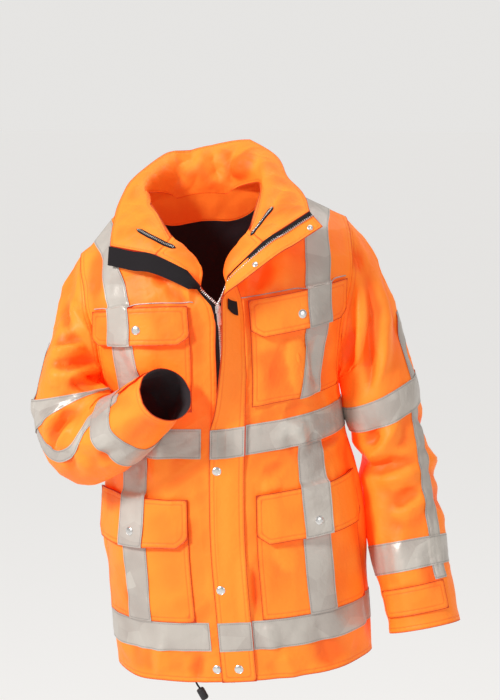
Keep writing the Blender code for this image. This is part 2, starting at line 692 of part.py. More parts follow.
def build_pockets(side_name, front):
    """Chest and hip pockets, their flaps, and the brace tapes that run over them."""
    orange, tape = orange_cloth(), grey_tape()
    braces = columns_between("brace_in", "brace_out")
    bags = columns_between("pocket_in", "pocket_out")

    bag = front.patch(rows_between("underarm", "piping"), bags, ON_SHELL)
    add_cloth(f"chest_pocket_{side_name}", slide_rows(bag, -1, POCKET_MOUTH_IN), POCKET_CLOTH, orange)
    flap = front.patch(rows_between("chest_flap_low", "piping"), bags, FLAP_LIFT)
    add_cloth(f"chest_flap_{side_name}", clip_corners(flap, CHEST_CLIP), POCKET_CLOTH, orange)
    bag_tape = front.patch(rows_between("underarm", "chest_flap_low"), braces, ON_POCKET)
    add_cloth(f"chest_pocket_tape_{side_name}", bag_tape, TAPE, tape)
    brace = strip(
        front, rows_between("chest_flap_low", "shoulder"), braces,
        (("chest_flap_low", ON_FLAP), ("piping", ON_FLAP), ("upper_chest", BRACE_STEP)),
    )
    add_cloth(f"brace_tape_{side_name}", slide_rows(brace, -1, SHOULDER_TAPE_IN), TAPE, tape)

    bag = front.patch(rows_between("hem_tape_top", "hip_flap_top"), bags, ON_SHELL)
    bag = slide_rows(slide_rows(bag, 0, GAP), -1, POCKET_MOUTH_IN)
    add_cloth(f"hip_pocket_{side_name}", bag, POCKET_CLOTH, orange)
    flap = front.patch(rows_between("hip_flap_low", "hip_flap_top"), bags, FLAP_LIFT)
    add_cloth(f"hip_flap_{side_name}", clip_corners(flap, HIP_CLIP), POCKET_CLOTH, orange)
    bag_tape = front.patch(rows_between("hem_tape_top", "hip_flap_low"), braces, ON_POCKET)
    add_cloth(f"hip_pocket_tape_{side_name}", slide_rows(bag_tape, 0, GAP), TAPE, tape)
    flap_tape = strip(
        front, rows_between("hip_flap_low", "waist_tape_low"), braces,
        (("hip_flap_low", ON_FLAP), ("hip_flap_top", ON_FLAP)),
    )
    add_cloth(f"hip_flap_tape_{side_name}", slide_rows(flap_tape, -1, GAP), TAPE, tape)


def build_front_tapes(side_name, front):
    """The level tapes of one front, at the waist and the hem."""
    columns = columns_between("roll", "seam")
    for name, low, high in (
        ("waist_tape", "waist_tape_low", "waist_tape_top"),
        ("hem_tape", "hem_tape_low", "hem_tape_top"),
    ):
        band = front.patch(rows_between(low, high), columns, ON_SHELL)
        start = RIGHT_TAPE_START if side_name == "right" else GAP
        band = slide(slide(band, 0, start), -1, SEAM)
        add_cloth(f"{name}_{side_name}", band, TAPE, grey_tape())


def build_piping(side_name, front):
    """The thin piping just above the chest flap, over the brace tape."""
    low, high = ROW["piping"], ROW["upper_chest"]
    above_tape = ON_FLAP + TAPE + PIPING_GAP + PIPING_RADIUS
    above_shell = ON_SHELL + PIPING_GAP + PIPING_RADIUS
    columns = range(COLUMN["roll"], COLUMN["seam"])
    points = []
    for j in columns:
        name = COLUMNS[j]
        lift = above_tape if name.startswith("brace") else above_shell
        place = (1 - PIPING_UP) * front.points[low, j] + PIPING_UP * front.points[high, j]
        if name == "roll":
            place = place + PIPING_START * (front.points[low, j + 1] - front.points[low, j])
        points.append(place + front.normals[low, j] * lift)
    dense = []
    for a, b in zip(points, points[1:]):
        dense += [a, 0.5 * (a + b)]
    dense.append(points[-1])
    add_tube(f"piping_{side_name}", dense, PIPING_RADIUS, grey_tape())


def body_samples(sheets):
    """Places and outward directions spread over the body's inner face."""
    samples = []
    for sheet in sheets:
        rows, columns, _ = sheet.points.shape
        for i in range(rows - 1):
            for j in range(columns - 1):
                if not all(sheet.here(i + a, j + b) for a in (0, 1) for b in (0, 1)):
                    continue
                samples += [sheet.at(i + u, j + v) for u in SAMPLE_SHARES for v in SAMPLE_SHARES]
    return np.array([place for place, _ in samples]), np.array([outward for _, outward in samples])


def clear_of(points, body, distance):
    """The points, pushed out where they lie nearer the body's inner face than a distance."""
    places, outward = body
    cleared = []
    for point in points:
        for _ in range(2):
            k = int(np.argmin(((places - point) ** 2).sum(axis=1)))
            depth = distance - float(np.dot(point - places[k], outward[k]))
            point = point + outward[k] * max(depth, 0.0)
        cleared.append(point)
    return np.array(cleared)


def make_collar(fronts, back, body):
    """The stand-up collar from the neck seam to its open top edge."""
    right, left = fronts["right"], fronts["left"]
    top = ROW["shoulder"]
    seam = []

    def take(sheet, row, column):
        raised = COLLAR_RAISE[LEVELS[row]] if column in NECK_COLUMNS else 0.0
        if sheet is back and LEVELS[row] == "neck_side":
            raised = BACK_COLLAR_RAISE[abs(column - BACK_HALF)]
        place = sheet.points[row, column] + sheet.normals[row, column] * (ON_SHELL * raised)
        seam.append(place)

    def take_between(sheet):
        low, high = ROW["collar_front"], ROW["neck_side"]
        raised = COLLAR_RAISE["collar_front"]
        seam.append(sheet.at(0.5 * (low + high), COLUMN["roll"], ON_SHELL * raised)[0])

    neck_rows = (ROW["collar_front"], ROW["neck_side"], ROW["yoke"], top)
    take(right, neck_rows[0], 0)
    take(right, neck_rows[0], 1)
    for row in neck_rows:
        take(right, row, COLUMN["roll"])
        if row == neck_rows[0]:
            take_between(right)
    take(back, ROW["yoke"], BACK_HALF - 1)
    for column in (BACK_HALF - 1, BACK_HALF, BACK_HALF + 1):
        take(back, ROW["neck_side"], column)
    take(back, ROW["yoke"], BACK_HALF + 1)
    for row in reversed(neck_rows):
        if row == neck_rows[0]:
            take_between(left)
        take(left, row, COLUMN["roll"])
    take(left, neck_rows[0], 1)
    take(left, neck_rows[0], 0)
    seam = np.array(seam)
    steps = np.linalg.norm(np.diff(seam, axis=0), axis=1)
    places = np.concatenate([[0.0], np.cumsum(steps)]) / steps.sum()
    table = np.array(COLLAR_TOP)
    edge = smooth_through(table[:, 0], table[:, 1:], places)
    rows = []
    inward, upward = COLLAR_CURL
    for height in COLLAR_HEIGHTS:
        row = seam * (1 - height) + edge * height
        away = row - COLLAR_CENTRE
        away[:, 2] = 0.0
        away /= np.linalg.norm(away, axis=1)[:, None]
        bulge = COLLAR_ROLL * 4.0 * height * (1.0 - height)
        side = np.sin(np.pi * np.clip(places, 0.0, 1.0)) ** 0.5
        row = row - away * (bulge * side)[:, None] * inward
        row[:, 2] += bulge * side * upward
        rows.append(clear_of(row, body, COLLAR_CLEAR) if height else row)
    sheet = Sheet(np.array(rows), facing=-1.0)
    points = sheet.points.copy()
    rise = points[1] - points[0]
    points[0] += COLLAR_GAP * rise / np.linalg.norm(rise, axis=1)[:, None]
    return Sheet(points, facing=-1.0)


def smooth_through(knots, values, places):
    """Catmull-Rom values at given places, through a table's rows."""
    knots, values = np.asarray(knots, float), np.asarray(values, float)
    slopes = np.gradient(values, knots, axis=0)
    out = []
    for place in places:
        k = int(np.clip(np.searchsorted(knots, place, side="right") - 1, 0, len(knots) - 2))
        span = knots[k + 1] - knots[k]
        t = (place - knots[k]) / span
        h00, h10 = 2 * t ** 3 - 3 * t ** 2 + 1, t ** 3 - 2 * t ** 2 + t
        h01, h11 = -2 * t ** 3 + 3 * t ** 2, t ** 3 - t ** 2
        near = h00 * values[k] + h10 * span * slopes[k]
        out.append(near + h01 * values[k + 1] + h11 * span * slopes[k + 1])
    return np.array(out)


def build_storm_flap(fronts, collar):
    """The flap over the zip, from the hem to the collar's tip, and its two tapes."""
    left, right = fronts["left"], fronts["right"]
    rows = []
    for i, name in enumerate(LEVELS[:ROW["collar_front"] + 1]):
        sewn_column = COLUMN["lapel"] if name in STORM_FREE else COLUMN["roll"]
        sewn = left.points[i, sewn_column] + left.normals[i, sewn_column] * ON_SHELL
        if name in STORM_RAISED:
            away = unit(stance(STORM_RAISED[name]) - stance((0.0, 0.0, 0.0)))
            middle, edge, *beyond = [sewn + away * step for step in STORM_RAISED_STEPS]
        else:
            edge = left.points[i, 0] + left.normals[i, 0] * ON_SHELL
            middle = left.points[i, 1] + left.normals[i, 1] * ON_SHELL
        if name in STORM_FREE:
            free = unit(stance(STORM_FREE[name]) - stance((0.0, 0.0, 0.0)))
            beyond = [edge + free * step for step in FREE_STEPS]
            middle = 0.5 * (edge + sewn)
        elif name not in STORM_RAISED:
            zip_edge = right.points[i, 0] + right.normals[i, 0] * ON_SHELL
            lapel = right.points[i, 1] + right.normals[i, 1] * ON_SHELL
            centre = 0.5 * (left.points[i, 0] + right.points[i, 0]) + left.normals[i, 0] * ON_SHELL
            last = zip_edge + (lapel - zip_edge) * STORM_OVER
            beyond = [centre, zip_edge, 0.5 * (zip_edge + last), last]
        rows.append([*reversed(beyond), edge, middle, sewn])
    free = unit(stance(STORM_FREE_COLLAR))
    for height in (1, 2, 3):
        edge = collar.points[height, -1] + collar.normals[height, -1] * ON_COLLAR
        sewn = collar.points[height, -2] + collar.normals[height, -2] * ON_COLLAR
        sewn = 0.5 * (sewn + edge)
        beyond = [edge + free * step for step in FREE_STEPS]
        rows.append([*reversed(beyond), edge, 0.5 * (edge + sewn), sewn])
    flap = Sheet(np.array(rows), facing=1.0)
    add_cloth("storm_flap", flap, SHELL, orange_cloth())
    for name, low, high in (
        ("waist_tape_storm_flap", "waist_tape_low", "waist_tape_top"),
        ("hem_tape_storm_flap", "hem_tape_low", "hem_tape_top"),
    ):
        band = flap.patch(rows_between(low, high), (0, flap.points.shape[1] - 1), SHELL + GAP)
        band = slide(slide(band, 0, STORM_TAPE_IN[0]), -1, STORM_TAPE_IN[1])
        add_cloth(name, band, TAPE, grey_tape())
    return flap


def edge_strip(front, collar, column, names, free_levels, free_collar):
    """Rows of (edge point, free direction) up the open front edge and the collar."""
    rows = []
    for name in names:
        edge, inner = front.points[ROW[name], 0], front.points[ROW[name], 1]
        rows.append((edge + unit(edge - inner) * EDGE_CLEAR, unit(stance(free_levels[name]))))
    second = -2 if column < 0 else 1
    for height in (1, 2, 3):
        edge, inner = collar.points[height, column], collar.points[height, second]
        rows.append((edge + unit(edge - inner) * EDGE_CLEAR, unit(stance(free_collar))))
    return rows


def build_zip(fronts, collar):
    """The two zip tapes from hem to collar, and the guard strip on the right."""
    left, right = fronts["left"], fronts["right"]
    for side_name, side, column, free_levels, free_collar in (
        ("left", 1, -1, STORM_FREE, STORM_FREE_COLLAR),
        ("right", -1, 0, GUARD_FREE, GUARD_FREE_COLLAR),
    ):
        front = fronts[side_name]
        rows = []
        for i in range(ROW["piping"] + 1):
            centre = 0.5 * (left.points[i, 0] + right.points[i, 0])
            step = unit(front.points[i, 0] - centre)
            rows.append([centre + step * ZIP_HALF_GAP, front.points[i, 0] - step * ZIP_TO_FRONT])
        opened = edge_strip(front, collar, column, OPEN_LEVELS[1:], free_levels, free_collar)
        for place, free in opened:
            rows.append([place + free * ZIP_TAPE_WIDTH, place])
        tape = Sheet(Sheet(np.array(rows), facing=side).lifted(ZIP_TAPE_LIFT), facing=side)
        add_cloth(f"zip_tape_{side_name}", tape, ZIP_TAPE_WALL, dark_cloth())
    rows = []
    for place, free in edge_strip(right, collar, 0, OPEN_LEVELS, GUARD_FREE, GUARD_FREE_COLLAR):
        rows.append([place + free * GUARD_WIDTH, place + free * 0.5 * GUARD_WIDTH, place])
    guard = Sheet(np.array(rows), facing=-1.0)
    points = guard.lifted(-GUARD_BEHIND)
    points[0] += (points[1] - points[0]) * GUARD_START
    points[0] = points[0, 2] + (points[0] - points[0, 2]) * GUARD_TAPER
    add_cloth("guard_strip", Sheet(points, -1.0), GUARD_WALL, dark_cloth())


def slider_frame(fronts):
    """Where the slider sits: the open zip's fork, local y up the zip and z outwards."""
    left, right = fronts["left"], fronts["right"]
    i = ROW["piping"]
    centre = 0.5 * (left.points[i, 0] + right.points[i, 0])
    across = left.points[i, 0] - right.points[i, 0]
    below = 0.5 * (left.points[i - 1, 0] + right.points[i - 1, 0])
    outward = unit(np.cross(across, centre - below))
    up = unit(centre - below)
    return frame_matrix(centre - up * SLIDER_BELOW + outward * SLIDER_LIFT, across, outward)


def box_mesh(name, low, high, bevel=0.0):
    """A box between two corners, its edges bevelled."""
    bm = bmesh.new()
    bmesh.ops.create_cube(bm, size=1.0)
    low, high = np.array(low), np.array(high)
    for vert in bm.verts:
        vert.co = (low + high) / 2 + np.array(vert.co) * (high - low)
    if bevel:
        bmesh.ops.bevel(bm, geom=list(bm.edges), offset=bevel, segments=2, affect="EDGES")
    mesh = bpy.data.meshes.new(name)
    bm.to_mesh(mesh)
    bm.free()
    return mesh


def join_or_cut(obj, name, mesh, operation, placement):
    """Joins a mesh to an object, or cuts it off, by an exact Boolean."""
    tool = bpy.data.objects.new(name, mesh)
    tool_collection().objects.link(tool)
    tool.matrix_world = placement
    tool.hide_render = True
    tool.display_type = "WIRE"
    change = obj.modifiers.new(name, "BOOLEAN")
    change.operation = operation
    change.solver = "EXACT"
    change.object = tool


def add_slider(fronts):
    """The zip slider with its bridge, and the pull that swings on the bridge."""
    frame = slider_frame(fronts)
    width, height, depth = SLIDER_SIZE
    metal = bright_metal()
    body = box_mesh(
        "zip_slider", (-width / 2, -height / 2, 0.0), (width / 2, height / 2, depth), SLIDER_BEVEL,
    )
    slider = add_object("zip_slider", body, metal)
    slider.matrix_world = frame
    top = depth + BRIDGE_CLEAR + BRIDGE_WALL
    foot = depth - BRIDGE_FOOT
    half = BRIDGE_SPAN / 2
    outer = [(-half, foot), (-half, top - BRIDGE_CHAMFER), (-half + BRIDGE_CHAMFER, top)]
    outer += [(-y, z) for y, z in reversed(outer)]
    inner = [(-half + BRIDGE_WALL, foot), (-half + BRIDGE_WALL, top - BRIDGE_WALL)]
    inner += [(-y, z) for y, z in reversed(inner)]
    outline = outer + list(reversed(inner))
    bm = bmesh.new()
    near = [bm.verts.new((BRIDGE_WIDTH / 2, y, z)) for y, z in outline]
    far = [bm.verts.new((-BRIDGE_WIDTH / 2, y, z)) for y, z in outline]
    bm.faces.new(near)
    bm.faces.new(list(reversed(far)))
    count = len(outline)
    for k in range(count):
        bm.faces.new([near[k], far[k], far[(k + 1) % count], near[(k + 1) % count]])
    bmesh.ops.recalc_face_normals(bm, faces=bm.faces)
    bridge = bpy.data.meshes.new("bridge")
    bm.to_mesh(bridge)
    bm.free()
    join_or_cut(slider, "bridge", bridge, "UNION", frame)

    pull_width, pull_length, pull_depth = PULL_SIZE
    bar = pull_depth / 2
    plate = box_mesh(
        "zip_pull", (-pull_width / 2, bar - pull_length, -bar), (pull_width / 2, bar, bar), PULL_BEVEL,
    )
    pull = add_object("zip_pull", plate, metal)
    pivot = frame @ Matrix.Translation((0.0, 0.0, depth + BRIDGE_CLEAR / 2))
    pull.matrix_world = pivot
    hole_half, hole_length = PULL_HOLE[0] / 2, PULL_HOLE[1]
    hole = box_mesh(
        "pull_hole", (-hole_half, -bar - hole_length, -pull_depth), (hole_half, -bar, pull_depth),
    )
    join_or_cut(pull, "pull_hole", hole, "DIFFERENCE", pivot)


def turned(name, profile, finish, steps):
    """A round piece: (radius, height) points from the top down, turned round local z."""
    bm = bmesh.new()
    verts = [bm.verts.new((radius, 0.0, height)) for radius, height in profile]
    for a, b in zip(verts, verts[1:]):
        bm.edges.new((a, b))
    mesh = bpy.data.meshes.new(name)
    bm.to_mesh(mesh)
    bm.free()
    obj = add_object(name, mesh, finish)
    screw = obj.modifiers.new("turned", "SCREW")
    screw.axis = "Z"
    screw.steps = steps
    screw.render_steps = steps
    screw.use_merge_vertices = True
    screw.merge_threshold = 0.0001
    screw.use_smooth_shade = True
    return obj


def build_snaps(sheets):
    """Snap caps on the chest flaps, hip flaps, storm flap and hem."""
    profile = [(SNAP_RADIUS * r, SNAP_HEIGHT * h) for r, h in SNAP_PROFILE]
    for name, sheet_name, row, column, lift in SNAPS:
        sheet = sheets[sheet_name]
        place, outward = sheet.at(row, column, lift)
        snap = turned(f"snap_{name}", profile, bright_metal(), 16)
        across = sheet.at(row, column + 0.2)[0] - sheet.at(row, column - 0.2)[0]
        snap.matrix_world = frame_matrix(place, across * sheet.facing, outward)


def build_patch(flap):
    """The plain dark patch sewn on the storm flap beside the slider."""
    rows, columns = PATCH_ROWS, PATCH_COLUMNS
    points = []
    for share, row in zip((0.0, 0.5, 1.0), rows):
        line = []
        for column in columns:
            line.append(flap.at(row + PATCH_SLANT * (column - columns[0]), column, SHELL + PATCH_LIFT)[0])
        points.append(line)
    add_cloth("flap_patch", Sheet(np.array(points), flap.facing), PATCH_WALL, dark_cloth())


def build_drawcord(front):
    """The hem's cord end, which comes out under the right front, and its toggle."""
    place, outward = front.at(*CORD_AT)
    down = unit(front.at(0.0, CORD_AT[1])[0] - front.at(1.0, CORD_AT[1])[0])
    across = unit(np.cross(down, outward))
    inside = place - outward * (CORD_RADIUS + GAP)
    points = [inside + down * step + outward * out + across * side for step, out, side in CORD_ROUTE]
    add_tube("drawcord", points, CORD_RADIUS, dark_cloth())
    way = unit(points[-1] - points[-2])
    toggle = turned("toggle", TOGGLE_PROFILE, black_plastic(), 16)
    toggle.matrix_world = frame_matrix(points[-1] + way * TOGGLE_FROM_CORD, across, -way)


def build_back_tapes(back):
    """Waist and hem tapes round the back, and the two braces down to the hem tape."""
    last = back.points.shape[1] - 1
    braces = {"right": (2, 3), "left": (9, 10)}
    for name, columns in braces.items():
        rows = rows_between("hem_tape_top", "shoulder")
        brace = back.patch(rows, columns, ON_SHELL)
        brace = slide_rows(slide_rows(brace, 0, GAP), -1, SHOULDER_TAPE_IN)
        add_cloth(f"back_brace_{name}", brace, TAPE, grey_tape())
    over = [column for columns in braces.values() for column in columns]
    for name, low, high in (
        ("back_waist_tape", "waist_tape_low", "waist_tape_top"),
        ("back_hem_tape", "hem_tape_low", "hem_tape_top"),
    ):
        rows = rows_between(low, high)
        lifts = np.full((2, last + 1), ON_SHELL)
        if name == "back_waist_tape":
            lifts[:, over] += TAPE + GAP
        cut = np.s_[rows[0]:rows[1] + 1]
        points = back.points[cut] + back.normals[cut] * lifts[:, :, None]
        band = slide(slide(Sheet(points, back.facing, back.normals[cut]), 0, SEAM), -1, SEAM)
        add_cloth(name, band, TAPE, grey_tape())


def ring(centre, axis, inner, bend, side_radius, roll, columns):
    """Points of one oval ring: inner is the direction of its first column."""
    axis = unit(np.asarray(axis, float))
    first = unit(inner - axis * np.dot(inner, axis))
    second = np.cross(axis, first)
    points = []
    for place in columns:
        angle = 2.0 * math.pi * place
        local = angle + roll
        direction = math.cos(local) * first + math.sin(local) * second
        reach = 1.0 / math.hypot(math.cos(local) / bend, math.sin(local) / side_radius)
        points.append(centre + direction * reach)
    return np.array(points)


def armhole(front, back, side):
    """The seam ring of a sleeve: underarm, front, shoulder, back, and its places."""
    rows = range(ROW["underarm"], ROW["shoulder"] + 1)
    column = COLUMN["seam"]
    back_column = 2 * BACK_HALF if side > 0 else 0
    lateral = unit(stance((float(side), 0.0, 0.0)))
    points = []
    for sheet, j, order in ((front, column, rows), (back, back_column, list(reversed(rows))[1:-1])):
        for i in order:
            out = unit(sheet.normals[i, j] + 2.0 * lateral)
            points.append(sheet.points[i, j] + sheet.normals[i, j] * SHELL + out * SLEEVE_SEAM)
    points = np.array(points)
    closed = np.vstack([points, points[:1]])
    steps = np.linalg.norm(np.diff(closed, axis=0), axis=1)
    return points, np.concatenate([[0.0], np.cumsum(steps)])[:-1] / steps.sum()


def ring_columns():
    front_half = list(SLEEVE_COLUMNS)
    back_half = [1.0 - place for place in reversed(front_half[1:-1])]
    return np.array(front_half + back_half)


def make_sleeve(side, front, back, body):
    """Rings of a sleeve from the armhole to the cuff, and the names of its stations."""
    seam, places = armhole(front, back, side)
    even = ring_columns()
    names, rings = ["armhole"], [seam]
    lateral = unit(stance((float(side), 0.0, 0.0)))
    up = np.array([0.0, 0.0, 1.0])
    head = LEFT_HEAD if side > 0 else RIGHT_HEAD
    for k, (name, degrees, bend, side_radius, out, ahead, rise) in enumerate(head):
        angle = math.radians(degrees)
        axis = lateral * math.cos(angle) - up * math.sin(angle)
        toward = lateral * math.sin(angle) + up * math.cos(angle)
        centre = seam[0] + toward * bend + lateral * out + np.array([0.0, -ahead, rise])
        share = 0.5 if k == 0 else 0.0
        columns = places * share + even * (1.0 - share)
        names.append(name)
        rings.append(ring(centre, -side * axis, -toward, bend, side_radius, 0.0, columns))
    if side > 0:
        centres = np.array([row[1:4] for row in LEFT_SLEEVE])
        spine = np.vstack([rings[-1].mean(axis=0), centres])
        tangents = np.gradient(spine, axis=0)[1:]
        inner = np.array([-1.0, 0.0, 0.0])
        for k, (name, *_, bend, side_radius, roll, tilt) in enumerate(LEFT_SLEEVE):
            axis = -(unit(tangents[k]) + lateral * tilt)
            points = ring(centres[k], axis, inner, bend, side_radius, -math.radians(roll), even)
            names.append(name)
            rings.append(points)
    else:
        bend_way = np.array([math.cos(RIGHT_BEND_HEADING), math.sin(RIGHT_BEND_HEADING), 0.0])
        crease = np.array(RIGHT_CREASE)
        for name, degrees, run, bend, side_radius, roll in RIGHT_FOREARM:
            angle = math.radians(degrees)
            axis = bend_way * math.sin(angle) - up * math.cos(angle)
            toward = up * math.sin(angle) + bend_way * math.cos(angle)
            centre = crease - toward * (CREASE_GAP + bend) + axis * run
            turn = math.radians(roll) + RIGHT_BEND_HEADING
            names.append(name)
            rings.append(ring(centre, axis, toward, bend, side_radius, turn, even))
    near = LEFT_CLEAR if side > 0 else RIGHT_CLEAR
    below = LEFT_CLEAR_BELOW if side > 0 else RIGHT_CLEAR_BELOW
    for k, name in enumerate(names):
        if k:
            rings[k] = clear_of(rings[k], body, near.get(name, below))
    return Sheet(np.array(rings), facing=1.0, closed=True), names


def build_sleeve(side_name, side, sheet, names):
    orange, tape = orange_cloth(), grey_tape()
    hint = sheet.points[3] - sheet.points[3].mean(axis=0)
    if (sheet.normals[3] * hint).sum() < 0:
        sheet = Sheet(sheet.points, -sheet.facing, closed=True)
    obj = add_cloth(f"sleeve_{side_name}", sheet, SHELL, orange)
    obj.modifiers["wall"].offset = -1.0
    at = {name: index for index, name in enumerate(names)}
    columns = sheet.points.shape[1]

    def around(low, high, first, last, lift):
        index = [k % columns for k in range(first, last + 1)]
        points = sheet.points[at[low]:at[high] + 1][:, index]
        normals = sheet.normals[at[low]:at[high] + 1][:, index]
        lift = np.broadcast_to(np.asarray(lift, float), points.shape[:2])
        return Sheet(points + normals * lift[:, :, None], sheet.facing, normals)

    first, last = LONG_TAPE_COLUMNS
    long_tape = around("long_top", "tab_top", first, last, GAP)
    add_cloth(f"sleeve_long_tape_{side_name}", slide_rows(long_tape, -1, LONG_TAPE_IN), TAPE, tape)
    for name, low, high in (("upper", "upper_top", "upper_low"), ("lower", "lower_top", "lower_low")):
        lifts = np.full(columns, SLEEVE_TAPE_LIFT)
        lifts[first:last + 1] = 2 * GAP + TAPE
        band = Sheet(sheet.points[at[low]:at[high] + 1], sheet.facing, closed=True)
        points = band.points + band.normals * lifts[None, :, None]
        band = slide_rows(Sheet(points, sheet.facing, band.normals, closed=True), 0, SLEEVE_TAPE_IN)
        add_cloth(f"sleeve_{name}_tape_{side_name}", band, TAPE, tape)
    first, last = CUFF_TAB_COLUMNS
    tab = around("tab_top", "tab_low", first, last, GAP)
    add_cloth(f"cuff_tab_{side_name}", slide_rows(tab, 0, CUFF_TAB_IN), SHELL, orange)


def main():
    for obj in list(bpy.data.objects):
        bpy.data.objects.remove(obj, do_unlink=True)
    fronts = {name: make_front(side) for name, side in SIDES}
    back = make_back()
    orange = orange_cloth()
    for name, side in SIDES:
        add_cloth(f"front_{name}", fronts[name].inset(SEAM), SHELL, orange)
        build_pockets(name, fronts[name])
        build_front_tapes(name, fronts[name])
        build_piping(name, fronts[name])
    add_cloth("back", back.inset(SEAM), SHELL, orange)
    body = body_samples([*fronts.values(), back])
    collar = make_collar(fronts, back, body)
    add_cloth("collar", collar, SHELL, orange)
    flap = build_storm_flap(fronts, collar)
    build_zip(fronts, collar)
    add_slider(fronts)
    build_back_tapes(back)
    build_snaps({**fronts, "flap": flap})
    build_patch(flap)
    build_drawcord(fronts["right"])
    for name, side in SIDES:
        sheet, stations = make_sleeve(side, fronts[name], back, body)
        build_sleeve(name, side, sheet, stations)


main()
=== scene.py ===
"""The finished look of a hi-vis work jacket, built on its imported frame.

Every sewn piece takes its place from the node of the same name: the node's outer layer is
made smooth, folded, laid on what it is sewn to and given its thickness again.  Metres, +Z up,
the jacket's front along -Y and the wearer's left towards +X.
"""

import logging
import math
from collections.abc import Iterable, Sequence
from dataclasses import dataclass, field
from enum import Enum

import bmesh
import bpy
import numpy as np
from mathutils import Matrix, Vector
from mathutils.bvhtree import BVHTree
from mathutils.kdtree import KDTree


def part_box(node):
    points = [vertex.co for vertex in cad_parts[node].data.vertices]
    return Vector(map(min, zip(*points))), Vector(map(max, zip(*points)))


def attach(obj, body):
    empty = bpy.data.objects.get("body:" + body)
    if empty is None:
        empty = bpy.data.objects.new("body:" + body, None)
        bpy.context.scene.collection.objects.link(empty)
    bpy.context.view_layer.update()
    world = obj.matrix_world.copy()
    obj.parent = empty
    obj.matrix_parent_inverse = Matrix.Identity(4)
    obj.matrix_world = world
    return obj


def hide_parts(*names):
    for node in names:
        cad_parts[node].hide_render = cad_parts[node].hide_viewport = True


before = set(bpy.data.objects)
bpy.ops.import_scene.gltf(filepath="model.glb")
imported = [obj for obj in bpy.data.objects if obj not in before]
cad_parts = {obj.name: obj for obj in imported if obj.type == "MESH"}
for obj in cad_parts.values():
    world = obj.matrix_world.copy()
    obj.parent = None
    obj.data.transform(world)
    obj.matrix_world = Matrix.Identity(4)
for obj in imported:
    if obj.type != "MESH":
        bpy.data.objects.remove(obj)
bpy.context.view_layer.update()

LOG = logging.getLogger("jacket")
BODY = "jacket"
SIDES = ("left", "right")
UP = (0.0, 0.0, 1.0)

Place = tuple[float, float, float]
Colour = tuple[float, float, float, float]

# Telling a node's outer layer from its inner one: how near points are one, the longest edge
# across the rim, and the torso's middle
WELD = 2e-6
RIM_EDGE = 0.0023
AXIS_X = 0.03

# Making a layer smooth: the turns of a border that stay sharp, and the rounds that bring the
# smooth surface through the coarse points
CLOTH_CORNER = math.radians(32.0)
TAPE_CORNER = math.radians(62.0)
SETTLE_ROUNDS = 9

# Laying a piece on others: how far off they may be, how far a place may rise above those
# round it, and the rounds that even out the directions, that limit and the final heights
REACH = 0.030
STEP_UP = 0.003
OUTWARD_ROUNDS = 4
LIMIT_ROUNDS = 8
HEIGHT_ROUNDS = 2

# Sewing a sleeve or the collar to the body: borders nearer than the first are drawn in whole,
# and past the second not at all
SEAM_REACH = (0.0135, 0.018)
SEAM_ROUNDS = 10

# Folds are gone nearer to a snap or the slider than the first, and whole past the second
CALM_REACH = (0.012, 0.034)

# Where the inner side is the outer cloth: beside the zip, above the lined stretch of a cuff
# and in the crease of the bent elbow
FACING_WIDTH = 0.100
CUFF_LINING = 0.110
ELBOW_CREASE = (-0.150, -0.165, -0.310)
CREASE_REACH = 0.055

# How far flaps and pockets lie off the cloth below, and how far a flap's lower edge stands out
POCKET_GAP = 0.0018
FLAP_GAP = 0.0030
FLAP_STAND = 0.0080
STORM_FLAP_GAP = 0.0022


# --- Shader maths ------------------------------------------------------------------------

class Shade:
    """A number, colour or vector in a material's node tree, with arithmetic that adds nodes."""

    def __init__(self, tree: bpy.types.NodeTree, socket: bpy.types.NodeSocket) -> None:
        """Wraps an output socket.

        Args:
            tree: the material's node tree.
            socket: the output that holds the value.
        """
        self.tree = tree
        self.socket = socket

    @classmethod
    def node(cls, tree: bpy.types.NodeTree, kind: str, settings: dict | None = None,
             inputs: dict | None = None, output: int | str = 0) -> "Shade":
        """Adds any node, with its settings first and then its inputs.

        Args:
            tree: the node tree that it is added to.
            kind: the node's type, without the "ShaderNode" in front.
            settings: values of the node's own attributes.
            inputs: values or Shades for its sockets, by name or number.
            output: which output to wrap.

        Returns:
            The wrapped output.
        """
        node = tree.nodes.new("ShaderNode" + kind)
        for name, value in (settings or {}).items():
            setattr(node, name, value)
        for name, value in (inputs or {}).items():
            if isinstance(value, Shade):
                tree.links.new(value.socket, node.inputs[name])
            else:
                node.inputs[name].default_value = value
        return cls(tree, node.outputs[output])

    def math(self, operation: str, *values: "Shade | float") -> "Shade":
        """A Math node on this value and others."""
        inputs = dict(enumerate((self, *values)))
        return self.node(self.tree, "Math", {"operation": operation}, inputs)

    def __add__(self, other: "Shade | float") -> "Shade":
        """This plus another value."""
        return self.math("ADD", other)

    __radd__ = __add__

    def __mul__(self, other: "Shade | float") -> "Shade":
        """This times another value."""
        return self.math("MULTIPLY", other)

    __rmul__ = __mul__

    def __sub__(self, other: "Shade | float") -> "Shade":
        """This less another value."""
        return self.math("SUBTRACT", other)

    def __rsub__(self, other: "Shade | float") -> "Shade":
        """Another value less this."""
        return (self * -1.0) + other

    def __truediv__(self, other: "Shade | float") -> "Shade":
        """This over another value."""
        return self.math("DIVIDE", other)

    def __abs__(self) -> "Shade":
        """The size of this value."""
        return self.math("ABSOLUTE")

    def within(self, low: float, high: float) -> "Shade":
        """A mask of where this value is high.

        Args:
            low: the value up to which the mask is 0.
            high: the value from which it is 1; under low for a mask of where it is low.

        Returns:
            The mask, smooth between the two.
        """
        settings = {"interpolation_type": "SMOOTHSTEP", "clamp": True}
        inputs = {"Value": self, "From Min": low, "From Max": high}
        return self.node(self.tree, "MapRange", settings, inputs)

    def mix(self, first: "Shade | tuple", second: "Shade | tuple") -> "Shade":
        """A colour from first, where this is 0, to second, where it is 1."""
        return self.node(self.tree, "Mix", {"data_type": "RGBA"}, {0: self, 6: first, 7: second}, 2)


